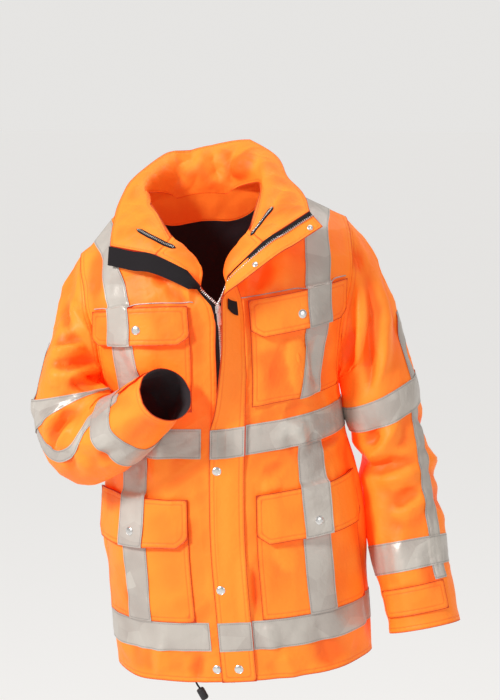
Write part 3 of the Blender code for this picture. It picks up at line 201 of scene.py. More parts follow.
# --- Finishes ----------------------------------------------------------------------------

@dataclass(frozen=True)
class Finish:
    """What every material shares: its name, slot and Principled constants."""

    name: str
    slot: str
    colour: Colour
    roughness: float
    metallic: float = 0.0
    specular: float = 0.4
    sheen: float = 0.0
    glow: float = 0.0
    glow_colour: Colour = (1.0, 0.022, 0.0, 1.0)

    def material(self) -> bpy.types.Material:
        """The material, made once.

        Returns:
            The Blender material of this finish.
        """
        made = bpy.data.materials.get(self.name)
        if made is None:
            made = bpy.data.materials.new(self.name)
            made.use_nodes = True
            made.diffuse_color = self.colour
            shader = made.node_tree.nodes["Principled BSDF"]
            for socket, value in (
                ("Base Color", self.colour), ("Roughness", self.roughness),
                ("Metallic", self.metallic), ("Specular IOR Level", self.specular),
                ("Sheen Weight", self.sheen), ("Emission Strength", self.glow),
                ("Emission Color", self.glow_colour),
            ):
                shader.inputs[socket].default_value = value
            self.weave(made.node_tree, shader)
        return made

    def weave(self, tree: bpy.types.NodeTree, shader: bpy.types.Node) -> None:
        """Adds what changes over the surface; a plain finish adds nothing."""

    def connect(self, tree: bpy.types.NodeTree, shader: bpy.types.Node, colour: Shade,
                roughness: Shade, height: Shade | None = None) -> None:
        """Feeds the shader's colour, roughness and bump.

        Args:
            tree: the material's node tree.
            shader: its Principled node.
            colour: the base colour.
            roughness: the roughness.
            height: the relief in metres, if it has any.
        """
        tree.links.new(colour.socket, shader.inputs["Base Color"])
        tree.links.new(roughness.socket, shader.inputs["Roughness"])
        if height is not None:
            bump = Shade.node(tree, "Bump", None, {"Strength": 1.0, "Distance": 1.0, "Height": height})
            tree.links.new(bump.socket, shader.inputs["Normal"])


def toned(colour: Colour, share: float, lift: float = 0.0) -> Colour:
    """A colour made darker or lighter, and solid."""
    return (*(min(1.0, share * part + lift) for part in colour[:3]), 1.0)


def measure(tree: bpy.types.NodeTree, name: str) -> Shade:
    """A measure kept at the mesh's points, as a value."""
    return Shade.node(tree, "Attribute", {"attribute_name": name}, None, "Fac")


def own_space(tree: bpy.types.NodeTree) -> Shade:
    """The place in the object's own space, in metres."""
    return Shade.node(tree, "TexCoord", None, None, "Object")


def noise(tree: bpy.types.NodeTree, scale: float, detail: float = 2.0) -> Shade:
    """Noise over the object's own space, from 0 to 1."""
    return Shade.node(tree, "TexNoise", None, {"Vector": own_space(tree), "Scale": scale, "Detail": detail})


def creases(tree: bpy.types.NodeTree, scale: float, detail: float = 2.0) -> Shade:
    """Noise folded at its middle, so that it runs in sharp creases."""
    return abs(noise(tree, scale, detail) - 0.5)


def unbroken(tree: bpy.types.NodeTree) -> Shade:
    """0 where the run along a border starts again, and 1 elsewhere."""
    return measure(tree, "whole").within(0.90, 0.99)


STITCH_PITCH = 0.0034
STITCH_ENDS = (0.40, 0.34)
THREAD_WIDTH = 0.0007
GROOVE_WIDTH = 0.0022


def stitch_rows(tree: bpy.types.NodeTree, rows: Sequence[float]) -> tuple[Shade, Shade]:
    """Rows of stitches at set distances from a piece's border.

    Args:
        tree: the material's node tree.
        rows: distances from the border, in metres.

    Returns:
        Where the thread shows, from 0 to 1, and where the seam pulls the cloth down.
    """
    edge = measure(tree, "edge")
    stitch = (measure(tree, "run") / STITCH_PITCH).math("FRACT")
    dash = abs(stitch - 0.5).within(*STITCH_ENDS) * unbroken(tree)
    thread, groove = None, None
    for row in rows:
        away = abs(edge - row)
        line = away.within(THREAD_WIDTH * 0.75, THREAD_WIDTH * 0.40) * dash
        dip = away.within(GROOVE_WIDTH, 0.0)
        thread = line if thread is None else thread.math("MAXIMUM", line)
        groove = dip if groove is None else groove.math("MAXIMUM", dip)
    return thread, groove


@dataclass(frozen=True)
class CoatedCloth(Finish):
    """Fluorescent coated cloth: smooth, faintly crinkled, with stitched edges and painted shade in its
    folds and seams.
    """

    rows: tuple[float, ...] = (0.0022, 0.0085)
    # The deep colour is painted shade, laid in fold troughs and stitch grooves
    deep: Colour = (0.85, 0.090, 0.008, 1.0)
    thread: Colour = (0.80, 0.16, 0.03, 1.0)
    # The seam colour is painted shade: a dark band along every border, for the shadow in the seams and
    # under the edges
    seam: Colour = (0.40, 0.050, 0.008, 1.0)
    seam_width: tuple[float, float] = (0.0004, 0.0020)
    # The fold lifts from the deepest painted shade, in a trough, to none
    fold_shading_span: tuple[float, float] = (-0.0070, 0.0005)
    pucker_reach: tuple[float, float] = (0.013, 0.002)
    pucker_pitch: float = 0.0125
    pucker_height: float = 0.00018
    crinkle_height: float = 0.00200
    fine_height: float = 0.00042
    grain_height: float = 0.00002
    groove_depth: float = 0.00035
    thread_height: float = 0.00022

    def weave(self, tree: bpy.types.NodeTree, shader: bpy.types.Node) -> None:
        """Colour drift, painted shade in fold troughs, stitch grooves and along the border, crinkles, weave
        and stitches.

        Args:
            tree: the material's node tree.
            shader: its Principled node.
        """
        drift = noise(tree, scale=7.0, detail=3.0).within(0.30, 0.75)
        thread, groove = stitch_rows(tree, self.rows)
        # Painted shade: the cloth turns towards the deep colour where a fold sinks in
        fold = measure(tree, "fold").within(*self.fold_shading_span)
        base = (fold * 0.65 + 0.35).mix(self.deep, self.colour)
        shade = (drift * 0.16).mix(base, toned(self.colour, 0.90))
        # Painted shade: the stitch grooves darken towards the deep colour, and a dark band runs along the
        # border
        sewn = (thread * 0.45).mix((groove * 0.24).mix(shade, self.deep), self.thread)
        sewn = measure(tree, "edge").within(*self.seam_width).mix(self.seam, sewn)
        pucker = measure(tree, "edge").within(*self.pucker_reach) * unbroken(tree)
        turn = measure(tree, "run") * (2.0 * math.pi / self.pucker_pitch)
        ripple = (turn + noise(tree, scale=60.0) * 9.0).math("SINE")
        crinkles = creases(tree, scale=46.0) * self.crinkle_height
        crinkles = crinkles + creases(tree, scale=130.0) * self.fine_height
        height = crinkles + noise(tree, scale=1900.0, detail=1.0) * self.grain_height
        height = height + pucker * ripple * self.pucker_height
        height = height - groove * self.groove_depth + thread * self.thread_height
        self.connect(tree, shader, sewn, drift * 0.10 + self.roughness - 0.05, height)


@dataclass(frozen=True)
class ReflectiveTape(Finish):
    """Silver-grey retroreflective tape, finely woven, crinkled like foil and sewn at its edges."""

    rows: tuple[float, ...] = (0.0026,)
    # The bright colour is partly random lighter tone and partly painted light on raised folds and lit
    # facets
    bright: Colour = (0.66, 0.62, 0.555, 1.0)
    # The thread colour also paints shade into the stitch grooves
    thread: Colour = (0.24, 0.215, 0.20, 1.0)
    fold_shading_span: tuple[float, float] = (-0.002, 0.002)
    crease_height: float = 0.0026
    fine_height: float = 0.00036
    bead_height: float = 0.00004
    groove_depth: float = 0.00025
    thread_height: float = 0.00015

    def weave(self, tree: bpy.types.NodeTree, shader: bpy.types.Node) -> None:
        """Beaded weave, foil creases with painted light and shade on their facets and folds, and the
        stitched borders.

        Args:
            tree: the material's node tree.
            shader: its Principled node.
        """
        drift = noise(tree, scale=16.0, detail=3.0).within(0.32, 0.70)
        crease = creases(tree, scale=34.0, detail=3.0)
        bead = Shade.node(tree, "TexVoronoi", None, {"Vector": own_space(tree), "Scale": 1250.0})
        # Each cell's random colour is read as one number: how bright its facet is. That brightness is
        # painted light and shade, for crinkled facets that each catch the lamps in their own way
        facet = Shade.node(tree, "TexVoronoi", None, {"Vector": own_space(tree), "Scale": 17.0}, "Color")
        thread, groove = stitch_rows(tree, self.rows)
        # Painted light and shade: raised folds and lit facets turn towards the bright colour, troughs stay
        # darker; the drift is random tone
        fold = measure(tree, "fold").within(*self.fold_shading_span)
        base = (fold * 0.25 + drift * 0.25 + facet * 0.50).mix(self.colour, self.bright)
        # Painted shade: the stitch grooves darken towards the thread colour
        sewn = (thread * 0.6).mix((groove * 0.25).mix(base, self.thread), self.thread)
        height = crease * self.crease_height + creases(tree, scale=105.0) * self.fine_height
        height = height + bead * self.bead_height
        height = height - groove * self.groove_depth + thread * self.thread_height
        self.connect(tree, shader, sewn, crease * 0.30 + self.roughness - 0.05, height)


@dataclass(frozen=True)
class TwillCloth(Finish):
    """A plain woven cloth, as zip tape, lining and cord are."""

    rib_pitch: float = 0.0011
    rib_height: float = 0.00009
    dust_height: float = 0.00008

    def weave(self, tree: bpy.types.NodeTree, shader: bpy.types.Node) -> None:
        """Diagonal ribs and dust.

        Args:
            tree: the material's node tree.
            shader: its Principled node.
        """
        bands = {"wave_type": "BANDS", "bands_direction": "DIAGONAL"}
        inputs = {"Vector": own_space(tree), "Scale": 0.5 / self.rib_pitch, "Distortion": 0.6}
        rib = Shade.node(tree, "TexWave", bands, inputs)
        dust = noise(tree, scale=240.0, detail=3.0)
        colour = (rib * 0.35 + dust * 0.25).mix(self.colour, toned(self.colour, 2.2, 0.01))
        height = rib * self.rib_height + dust * self.dust_height
        self.connect(tree, shader, colour, dust * 0.12 + self.roughness - 0.06, height)


@dataclass(frozen=True)
class FacedLining(Finish):
    """Dark lining with a border of the outer cloth along the neck, seams and hem."""

    border: float = 0.055
    border_colour: Colour = (1.0, 0.275, 0.026, 1.0)
    border_step: float = 0.0008
    seam_width: tuple[float, float] = (0.0030, 0.0012)
    seam_depth: float = 0.0008
    uneven_height: float = 0.0010

    def weave(self, tree: bpy.types.NodeTree, shader: bpy.types.Node) -> None:
        """The border, its seam and the lining's soft unevenness.

        Args:
            tree: the material's node tree.
            shader: its Principled node.
        """
        edge = measure(tree, "edge")
        lining = edge.within(self.border, self.border + self.border_step)
        seam = abs(edge - self.border).within(*self.seam_width)
        uneven = noise(tree, scale=60.0, detail=3.0)
        border = uneven.mix(self.border_colour, toned(self.border_colour, 0.80))
        colour = lining.mix(border, self.colour)
        height = uneven * self.uneven_height - seam * self.seam_depth
        self.connect(tree, shader, colour, uneven * 0.1 + self.roughness - 0.05, height)
        # The orange border glows with the same painted red light, and the dark lining doesn't
        glow = lining.mix(self.glow_colour, (0.0, 0.0, 0.0, 1.0))
        tree.links.new(glow.socket, shader.inputs["Emission Color"])


@dataclass(frozen=True)
class WornMetal(Finish):
    """Plated metal with fine scratches and finger marks."""

    scratch_length: float = 9.0
    scratch_height: float = 0.00002

    def weave(self, tree: bpy.types.NodeTree, shader: bpy.types.Node) -> None:
        """Scratches and finger marks.

        Args:
            tree: the material's node tree.
            shader: its Principled node.
        """
        marks = noise(tree, scale=420.0, detail=4.0)
        stretch = (1.0, self.scratch_length, 1.0)
        long = Shade.node(tree, "Mapping", None, {"Vector": own_space(tree), "Scale": stretch})
        scratch = Shade.node(tree, "TexNoise", None, {"Vector": long, "Scale": 900.0, "Detail": 2.0})
        colour = (marks.within(0.45, 0.75) * 0.4).mix(self.colour, toned(self.colour, 0.72))
        height = scratch * self.scratch_height + marks * self.scratch_height
        self.connect(tree, shader, colour, marks * 0.22 + self.roughness - 0.08, height)


@dataclass(frozen=True)
class MouldedPlastic(Finish):
    """Matte moulded plastic with a fine spark-eroded grain."""

    grain_height: float = 0.00004

    def weave(self, tree: bpy.types.NodeTree, shader: bpy.types.Node) -> None:
        """Grain and handling marks.

        Args:
            tree: the material's node tree.
            shader: its Principled node.
        """
        marks = noise(tree, scale=150.0, detail=3.0)
        colour = (marks.within(0.4, 0.8) * 0.5).mix(self.colour, toned(self.colour, 1.9, 0.01))
        height = noise(tree, scale=1500.0, detail=2.0) * self.grain_height
        self.connect(tree, shader, colour, marks * 0.2 + self.roughness - 0.1, height)


@dataclass(frozen=True)
class StudioPaper(Finish):
    """The pale studio floor, lit a little from within so that it stays even."""

    def weave(self, tree: bpy.types.NodeTree, shader: bpy.types.Node) -> None:
        """A trace of unevenness.

        Args:
            tree: the material's node tree.
            shader: its Principled node.
        """
        soft = noise(tree, scale=2.0, detail=2.0)
        colour = soft.mix(self.colour, toned(self.colour, 0.97))
        self.connect(tree, shader, colour, soft * 0.05 + self.roughness)


# The orange cloths' glow is painted light: a constant red glow that keeps their shade red, though they are
# no lamps
ORANGE = CoatedCloth("orange_cloth_finish", "orange_cloth", (1.0, 0.290, 0.026, 1.0), 0.52,
                     specular=0.26, glow=0.20)
ORANGE_PLAIN = CoatedCloth("orange_facing_finish", "orange_cloth", (1.0, 0.275, 0.026, 1.0), 0.55,
                           specular=0.24, glow=0.20, rows=(0.0040,))
TAPE = ReflectiveTape("reflective_tape_finish", "grey_tape", (0.430, 0.375, 0.335, 1.0), 0.44,
                      metallic=0.25, specular=0.5)
DARK = TwillCloth("dark_cloth_finish", "dark_cloth", (0.007, 0.005, 0.006, 1.0), 0.80, specular=0.16,
                  sheen=0.03)
LINING = TwillCloth("lining_finish", "dark_cloth", (0.014, 0.010, 0.012, 1.0), 0.72, sheen=0.08)
FACED_LINING = FacedLining("faced_lining_finish", "orange_cloth", (0.014, 0.010, 0.012, 1.0), 0.66,
                           specular=0.22, glow=0.20)
METAL = WornMetal("bright_metal_finish", "bright_metal", (0.80, 0.79, 0.77, 1.0), 0.26, metallic=1.0)
PLASTIC = MouldedPlastic("black_plastic_finish", "black_plastic", (0.018, 0.016, 0.018, 1.0), 0.48)
# Painted shade: the rims of pockets, flaps and tabs are a nearly black red, for the shadow along their
# edges
PAINTED_SHADE_EDGE = CoatedCloth("painted_shade_edge_finish", "orange_cloth", (0.22, 0.024, 0.004, 1.0), 0.6,
                   specular=0.2, glow=0.03, rows=(0.0022,))
TAPE_EDGE = TwillCloth("tape_edge_finish", "grey_tape", (0.20, 0.17, 0.155, 1.0), 0.6)
PAPER = StudioPaper("studio_paper_finish", "", (0.30, 0.296, 0.290, 1.0), 0.9, specular=0.1,
                    glow=1.0, glow_colour=(0.66, 0.652, 0.640, 1.0))


# --- Surfaces ----------------------------------------------------------------------------

class Form(Enum):
    """How a piece's outer layer is told from its inner one."""

    PANEL = "panel"
    TUBE = "tube"


@dataclass
class Surface:
    """One layer of cloth: fine places, quads in order round their outer side, and fold lifts."""

    places: np.ndarray
    faces: np.ndarray
    lifted: np.ndarray | None = None

    def __post_init__(self) -> None:
        """A new surface has no folds yet."""
        if self.lifted is None:
            self.lifted = np.zeros(len(self.places))

    def gathered(self, shares: Iterable[np.ndarray]) -> np.ndarray:
        """The direction at each place of the sum of its quads' shares.

        Args:
            shares: a vector for each quad, once for each of its four corners.

        Returns:
            Unit vectors, one for each place.
        """
        total = np.zeros_like(self.places)
        for corner, share in zip(self.faces.T, shares):
            np.add.at(total, corner, share)
        return unit(total)

    def outward(self) -> np.ndarray:
        """The direction out of the cloth at each place.

        Returns:
            Unit vectors, one for each place.
        """
        corners = self.places[self.faces]
        across = np.cross(corners[:, 2] - corners[:, 0], corners[:, 3] - corners[:, 1])
        return self.gathered([across] * 4)

    def inward(self) -> np.ndarray:
        """The direction from each place towards the middles of its quads, in the cloth.

        Returns:
            Unit vectors, one for each place.
        """
        centres = self.places[self.faces].mean(axis=1)
        return self.gathered(centres - self.places[corner] for corner in self.faces.T)

    def tree(self) -> BVHTree:
        """A search tree over the quads."""
        return BVHTree.FromPolygons(self.places.tolist(), self.faces.tolist())

    def border(self) -> list[np.ndarray]:
        """The border's loops of places, each in order.

        Returns:
            One array of place numbers for each loop.
        """
        starts = self.faces.reshape(-1)
        ends = np.roll(self.faces, -1, axis=1).reshape(-1)
        directed = set(zip(starts.tolist(), ends.tolist()))
        onward = {a: b for a, b in directed if (b, a) not in directed}
        loops = []
        while onward:
            start, place = onward.popitem()
            loop = [start]
            while place != start:
                loop.append(place)
                place = onward.pop(place)
            loops.append(np.array(loop))
        return loops

    def measures(self) -> tuple[np.ndarray, np.ndarray]:
        """How far each place is from the border, and where along it.

        Returns:
            The distances from the border and the runs along it, in metres.
        """
        loops = self.border()
        members = np.concatenate(loops)
        before = np.concatenate([np.roll(loop, 1) for loop in loops])
        after = np.concatenate([np.roll(loop, -1) for loop in loops])
        runs = np.concatenate([runs_along(self.places[loop]) for loop in loops])
        nearest, _ = nearest_points(point_finder(self.places[members]), self.places)
        start = self.places[members[nearest]]
        best = np.full(len(self.places), np.inf)
        run = np.zeros(len(self.places))
        for neighbours, sign in ((before, -1.0), (after, 1.0)):
            step = self.places[neighbours[nearest]] - start
            length = np.linalg.norm(step, axis=1)
            share = np.einsum("ij,ij->i", self.places - start, step) / np.maximum(length, 1e-9) ** 2
            share = np.clip(share, 0.0, 1.0)
            away = np.linalg.norm(self.places - start - step * share[:, None], axis=1)
            closer = away < best
            best = np.where(closer, away, best)
            run = np.where(closer, runs[nearest] + sign * share * length, run)
        return best, run


def ease(values: np.ndarray, low: float, high: float) -> np.ndarray:
    """0 below low, 1 above high and smooth between."""
    share = np.clip((values - low) / (high - low), 0.0, 1.0)
    return share * share * (3.0 - 2.0 * share)


def unit(vectors: np.ndarray) -> np.ndarray:
    """The vectors at a length of 1."""
    return vectors / np.maximum(np.linalg.norm(vectors, axis=1), 1e-12)[:, None]


def runs_along(line: np.ndarray) -> np.ndarray:
    """How far each point of a line is from its start, along it."""
    steps = np.linalg.norm(np.diff(line, axis=0), axis=1)
    return np.concatenate([[0.0], np.cumsum(steps)])


def sampled(line: np.ndarray, run: np.ndarray, marks: np.ndarray) -> np.ndarray:
    """The places of a line at marks on the run of its points."""
    return np.stack([np.interp(marks, run, line[:, k]) for k in range(3)], axis=1)


def resampled(line: np.ndarray, count: int) -> np.ndarray:
    """A line with another count of points, evenly shared among its stretches."""
    return sampled(line, np.arange(len(line)), np.linspace(0.0, len(line) - 1.0, count))


def smoothed(line: np.ndarray, rounds: int) -> np.ndarray:
    """A line evened out between its ends.

    Args:
        line: the points, changed in place.
        rounds: how often each point moves towards its neighbours.

    Returns:
        The same line.
    """
    for _ in range(rounds):
        line[1:-1] = 0.25 * line[:-2] + 0.5 * line[1:-1] + 0.25 * line[2:]
    return line


def point_finder(places: Iterable) -> KDTree:
    """A search tree over places.

    Args:
        places: the places.

    Returns:
        The tree, ready to search.
    """
    places = list(places)
    finder = KDTree(len(places))
    for k, place in enumerate(places):
        finder.insert(place, k)
    finder.balance()
    return finder


def nearest_points(finder: KDTree, places: np.ndarray) -> tuple[np.ndarray, np.ndarray]:
    """The point of a search tree that is nearest to each place.

    Args:
        finder: the search tree.
        places: the places.

    Returns:
        The numbers of the points and how far they are.
    """
    found = [finder.find(place) for place in places.tolist()]
    return np.array([hit[1] for hit in found]), np.array([hit[2] for hit in found])


def link_object(name: str, data: bpy.types.ID) -> bpy.types.Object:
    """A new object of the scene that shows the data.

    Args:
        name: the object's name.
        data: its mesh, curve, camera or light.

    Returns:
        The object.
    """
    obj = bpy.data.objects.new(name, data)
    bpy.context.scene.collection.objects.link(obj)
    return obj


def outer_layer(node: str, form: Form, host: Surface | None) -> tuple[np.ndarray, list[tuple[int, ...]]]:
    """The coarse outer layer of a shell node.

    Args:
        node: the node's name.
        form: how its outer side is found.
        host: the surface it lies on, which then tells its outer side.

    Returns:
        Its points, and its faces as quads where the triangles pair up.
    """
    shell = bmesh.new()
    shell.from_mesh(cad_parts[node].data)
    bmesh.ops.remove_doubles(shell, verts=shell.verts, dist=WELD)
    rim = {face for edge in shell.edges if edge.calc_length() < RIM_EDGE for face in edge.link_faces}
    bmesh.ops.delete(shell, geom=list(rim), context="FACES_ONLY")
    bmesh.ops.delete(shell, geom=[edge for edge in shell.edges if edge.is_wire], context="EDGES")
    layers = connected_faces(shell)
    host_tree = host.tree() if host else None
    layers.sort(key=lambda layer: outwardness(layer, form, host_tree))
    inner = [face for layer in layers[:-1] for face in layer]
    bmesh.ops.delete(shell, geom=inner, context="FACES")
    bmesh.ops.join_triangles(shell, faces=shell.faces[:], angle_face_threshold=math.pi,
                             angle_shape_threshold=math.pi, topology_influence=2.0)
    shell.verts.index_update()
    points = np.array([vert.co for vert in shell.verts])
    faces = [tuple(vert.index for vert in face.verts) for face in shell.faces]
    shell.free()
    return points, faces


def outwardness(layer: list[bmesh.types.BMFace], form: Form, host_tree: BVHTree | None) -> float:
    """How far a layer of a shell is the outer one, for comparing its layers.

    Args:
        layer: the layer's faces.
        form: a tube's outer layer is its largest, and a panel's the one that looks outwards.
        host_tree: the surface that a panel lies on, if it isn't the body itself.

    Returns:
        A number that is highest for the outer layer.
    """
    if form is Form.TUBE:
        return sum(face.calc_area() for face in layer)
    total = 0.0
    for face in layer:
        centre = face.calc_center_median()
        away = Vector((centre.x - AXIS_X, centre.y, 0.0))
        if host_tree:
            away = host_tree.find_nearest(centre)[1]
        total += face.calc_area() * face.normal.dot(away)
    return total


def connected_faces(shell: bmesh.types.BMesh) -> list[list[bmesh.types.BMFace]]:
    """The faces of a mesh in groups that hang together.

    Args:
        shell: the mesh.

    Returns:
        Its groups of faces.
    """
    left, groups = set(shell.faces), []
    while left:
        found = [left.pop()]
        for face in found:
            for edge in face.edges:
                for other in edge.link_faces:
                    if other in left:
                        left.remove(other)
                        found.append(other)
        groups.append(found)
    return groups


def refine(points: np.ndarray, faces: list[tuple[int, ...]], levels: int, corner: float) -> Surface:
    """A smooth fine surface through coarse points.

    Args:
        points: the coarse points, which the surface passes through.
        faces: the coarse faces.
        levels: how many times each face is halved.
        corner: the turn from which a bend of the border stays sharp.

    Returns:
        The fine surface.
    """
    mesh = bpy.data.meshes.new("cage")
    mesh.from_pydata(points.tolist(), [], faces)
    cage = link_object("cage", mesh)
    corners = mesh.attributes.new("crease_vert", "FLOAT", "POINT")
    corners.data.foreach_set("value", border_corners(points, faces, corner))
    smooth = cage.modifiers.new("smooth", "SUBSURF")
    smooth.use_limit_surface = True
    smooth.boundary_smooth = "PRESERVE_CORNERS"
    smooth.levels = 1
    control = points.copy()
    for _ in range(SETTLE_ROUNDS):
        control += points - evaluated_points(cage)[0][:len(points)]
        mesh.vertices.foreach_set("co", control.astype(np.float32).ravel())
        mesh.update()
    smooth.levels = levels
    fine = Surface(*evaluated_points(cage))
    bpy.data.objects.remove(cage)
    bpy.data.meshes.remove(mesh)
    return fine


def border_corners(points: np.ndarray, faces: list[tuple[int, ...]], corner: float) -> np.ndarray:
    """The points where a border turns sharply.

    Args:
        points: the points.
        faces: the faces.
        corner: the least turn of a sharp corner.

    Returns:
        1 at each sharp corner and 0 elsewhere.
    """
    directed = {(face[k - 1], face[k]) for face in faces for k in range(len(face))}
    onward = {a: b for a, b in directed if (b, a) not in directed}
    sharp = np.zeros(len(points), np.float32)
    for a, b in onward.items():
        first = Vector(points[b] - points[a])
        second = Vector(points[onward[b]] - points[b])
        sharp[b] = float(first.angle(second, 0.0) > corner)
    return sharp


def evaluated_points(obj: bpy.types.Object) -> tuple[np.ndarray, np.ndarray]:
    """An object's points and quads as its modifiers leave them.

    Args:
        obj: an object all of whose evaluated faces are quads.

    Returns:
        The points and the faces.
    """
    shown = obj.evaluated_get(bpy.context.evaluated_depsgraph_get())
    mesh = shown.to_mesh()
    points = np.zeros(len(mesh.vertices) * 3, np.float32)
    mesh.vertices.foreach_get("co", points)
    faces = np.zeros(len(mesh.loops), np.int32)
    mesh.loops.foreach_get("vertex_index", faces)
    shown.to_mesh_clear()
    return points.reshape(-1, 3).astype(float), faces.reshape(-1, 4)


# --- Folds -------------------------------------------------------------------------------

class View(Enum):
    """The side that a fold is placed from: its direction, and the two axes of its path."""

    FRONT = ((0.0, -1.0, 0.0), (0, 2))
    BACK = ((0.0, 1.0, 0.0), (0, 2))
    LEFT = ((1.0, 0.0, 0.0), (1, 2))
    RIGHT = ((-1.0, 0.0, 0.0), (1, 2))


# How a fold fades with the cloth's turn from its view and along its ends, how narrow its
# ends are, how its crest's curve depends on crisp, and the low hollow on each side of it
TURNED = (-0.05, 0.45)
START_TAPER = (-0.08, 0.30)
END_TAPER = (-0.08, 0.35)
END_WIDTH, MIDDLE_WIDTH = 0.55, 0.45
SOFT_POWER, CRISP_POWER = 2.0, 0.7
HOLLOW_AT, HOLLOW_WIDTH, HOLLOW_SHARE = 1.9, 0.8, 0.30

# The slow drift that bends and fades crumples: the usual length of its random directions, its
# usual size, and between which of its values a wave comes and goes
DRIFT_LENGTH, DRIFT_SIZE = 1.7, 1.9
WAVE_PATCH = (-0.9, 0.9)


@dataclass(frozen=True)
class Fold:
    """A crease along a path that is placed from one side.

    The path's points are given on the view's two axes, in metres.  A rise under 0 makes a
    trough, and a crisp of 1 the sharpest crest.
    """

    path: tuple[tuple[float, float], ...]
    width: float
    rise: float
    view: View = View.FRONT
    crisp: float = 0.5

    def lift(self, places: np.ndarray, outward: np.ndarray) -> np.ndarray:
        """How far the fold moves each place outwards.

        Args:
            places: the places.
            outward: their outward directions.

        Returns:
            The lifts, in metres.
        """
        direction, axes = self.view.value
        facing = ease(outward @ np.array(direction), *TURNED)
        flat = places[:, axes]
        knots = np.array(self.path)
        steps = np.linalg.norm(np.diff(knots, axis=0), axis=1)
        starts = runs_along(knots)
        best = np.full(len(flat), np.inf)
        run = np.zeros(len(flat))
        for start, end, length, from_start in zip(knots, knots[1:], steps, starts):
            share = ((flat - start) @ (end - start)) / length ** 2
            share = np.clip(share, 0.0, 1.0)
            away = np.linalg.norm(flat - start - share[:, None] * (end - start), axis=1)
            closer = away < best
            best = np.where(closer, away, best)
            run = np.where(closer, from_start + share * length, run)
        share = run / starts[-1]
        taper = ease(share, *START_TAPER) * ease(1.0 - share, *END_TAPER)
        reach = best / (self.width * (END_WIDTH + MIDDLE_WIDTH * taper))
        crest = np.exp(-reach ** (SOFT_POWER - CRISP_POWER * self.crisp))
        hollow = np.exp(-((reach - HOLLOW_AT) / HOLLOW_WIDTH) ** 2)
        return self.rise * taper * facing * (crest - HOLLOW_SHARE * hollow)


@dataclass(frozen=True)
class Crumple:
    """Low, crisp waves all over a cloth, as bent ridges in many directions.

    Size is the usual distance between ridges.  The other sizes are shares of it: how far the
    ridges are bent and over what distance, the least and greatest distance between them, and
    how large the patches are in which a wave comes and goes.
    """

    height: float
    size: float
    seed: int
    waves: int = 7
    bend: float = 0.35
    bend_size: float = 2.6
    apart: tuple[float, float] = (0.8, 1.9)
    patch_size: float = 3.0
    sharpness: float = 0.7

    def lift(self, places: np.ndarray) -> np.ndarray:
        """How far the waves move each place outwards.

        Args:
            places: the places.

        Returns:
            The lifts, in metres.
        """
        chance = np.random.default_rng(self.seed)
        warped = places + self.bend * self.size * self.drift(chance, places, self.bend_size * self.size)
        total = np.zeros(len(places))
        for _ in range(self.waves):
            heading = chance.normal(size=3)
            heading *= math.pi / (self.size * chance.uniform(*self.apart) * np.linalg.norm(heading))
            wave = np.abs(np.sin(warped @ heading + chance.uniform(0.0, math.pi)))
            patch = self.drift(chance, places, self.patch_size * self.size)[:, 0]
            total += (1.0 - 2.0 * wave ** self.sharpness) * ease(patch, *WAVE_PATCH)
        return self.height * total / math.sqrt(0.5 * self.waves)

    @staticmethod
    def drift(chance: np.random.Generator, places: np.ndarray, size: float) -> np.ndarray:
        """Slow changes over the places, as three sums of three waves each.

        Args:
            chance: the source of the waves' directions and starts.
            places: the places.
            size: how far apart the waves are, about.

        Returns:
            Three values for each place, about -1 to 1.
        """
        total = np.zeros_like(places)
        for _ in range(3):
            turn = chance.normal(size=(3, 3)) * (math.pi / (DRIFT_LENGTH * size))
            total += np.sin(places @ turn + chance.uniform(0.0, 2.0 * math.pi, 3))
        return total / DRIFT_SIZE


@dataclass
class Folding:
    """All the folds of one part of the garment, calm round the hard pieces."""

    folds: tuple[Fold, ...]
    crumples: tuple[Crumple, ...] = ()
    calm: np.ndarray = field(default_factory=lambda: np.zeros((0, 3)))
    plain_border: float = 0.025

    def apply(self, surface: Surface) -> None:
        """Moves a surface by the folds and keeps how far at each place.

        Args:
            surface: the surface, changed in place.
        """
        outward = surface.outward()
        edge, _ = surface.measures()
        lift = np.zeros(len(surface.places))
        for crumple in self.crumples:
            lift += crumple.lift(surface.places) * ease(edge, 0.0, self.plain_border)
        for fold in self.folds:
            lift += fold.lift(surface.places, outward)
        for centre in self.calm:
            away = np.linalg.norm(surface.places - centre, axis=1)
            lift *= ease(away, *CALM_REACH)
        surface.places = surface.places + outward * lift[:, None]
        surface.lifted = lift


# --- Laying and thickening ---------------------------------------------------------------

def lay(surface: Surface, under: Sequence[Surface], gap: float, press: bool) -> None:
    """Rests a surface on those below it.

    Args:
        surface: the surface, changed in place.
        under: the surfaces below.
        gap: how far it stays off them.
        press: True to bring it down to them and to their folds, False only to lift it where
            it would cut in.
    """
    counts = np.cumsum([0] + [len(layer.places) for layer in under])
    places = np.concatenate([layer.places for layer in under])
    faces = np.concatenate([layer.faces + count for layer, count in zip(under, counts)])
    tree = BVHTree.FromPolygons(places.tolist(), faces.tolist())
    parts = [spread(surface.faces, part, OUTWARD_ROUNDS) for part in surface.outward().T]
    outward = unit(np.stack(parts, axis=1))
    heights = np.full(len(surface.places), -REACH)
    for k, (place, away) in enumerate(zip(surface.places, outward)):
        start, direction = Vector(place), Vector(away)
        hit = tree.ray_cast(start + direction * REACH, -direction, 2.0 * REACH)[0]
        if hit is None and press:
            hit = tree.find_nearest(start)[0]
        if hit is not None:
            heights[k] = (hit - start).dot(direction)
    heights += gap
    if not press:
        heights = np.maximum(heights, 0.0)
    heights = np.minimum(heights, spread(surface.faces, heights, LIMIT_ROUNDS) + STEP_UP)
    heights = widened(surface.faces, heights)
    heights = np.maximum(heights, spread(surface.faces, heights, HEIGHT_ROUNDS))
    surface.places = surface.places + outward * heights[:, None]
    if press:
        nearest, _ = nearest_points(point_finder(places), surface.places)
        surface.lifted = np.concatenate([layer.lifted for layer in under])[nearest]


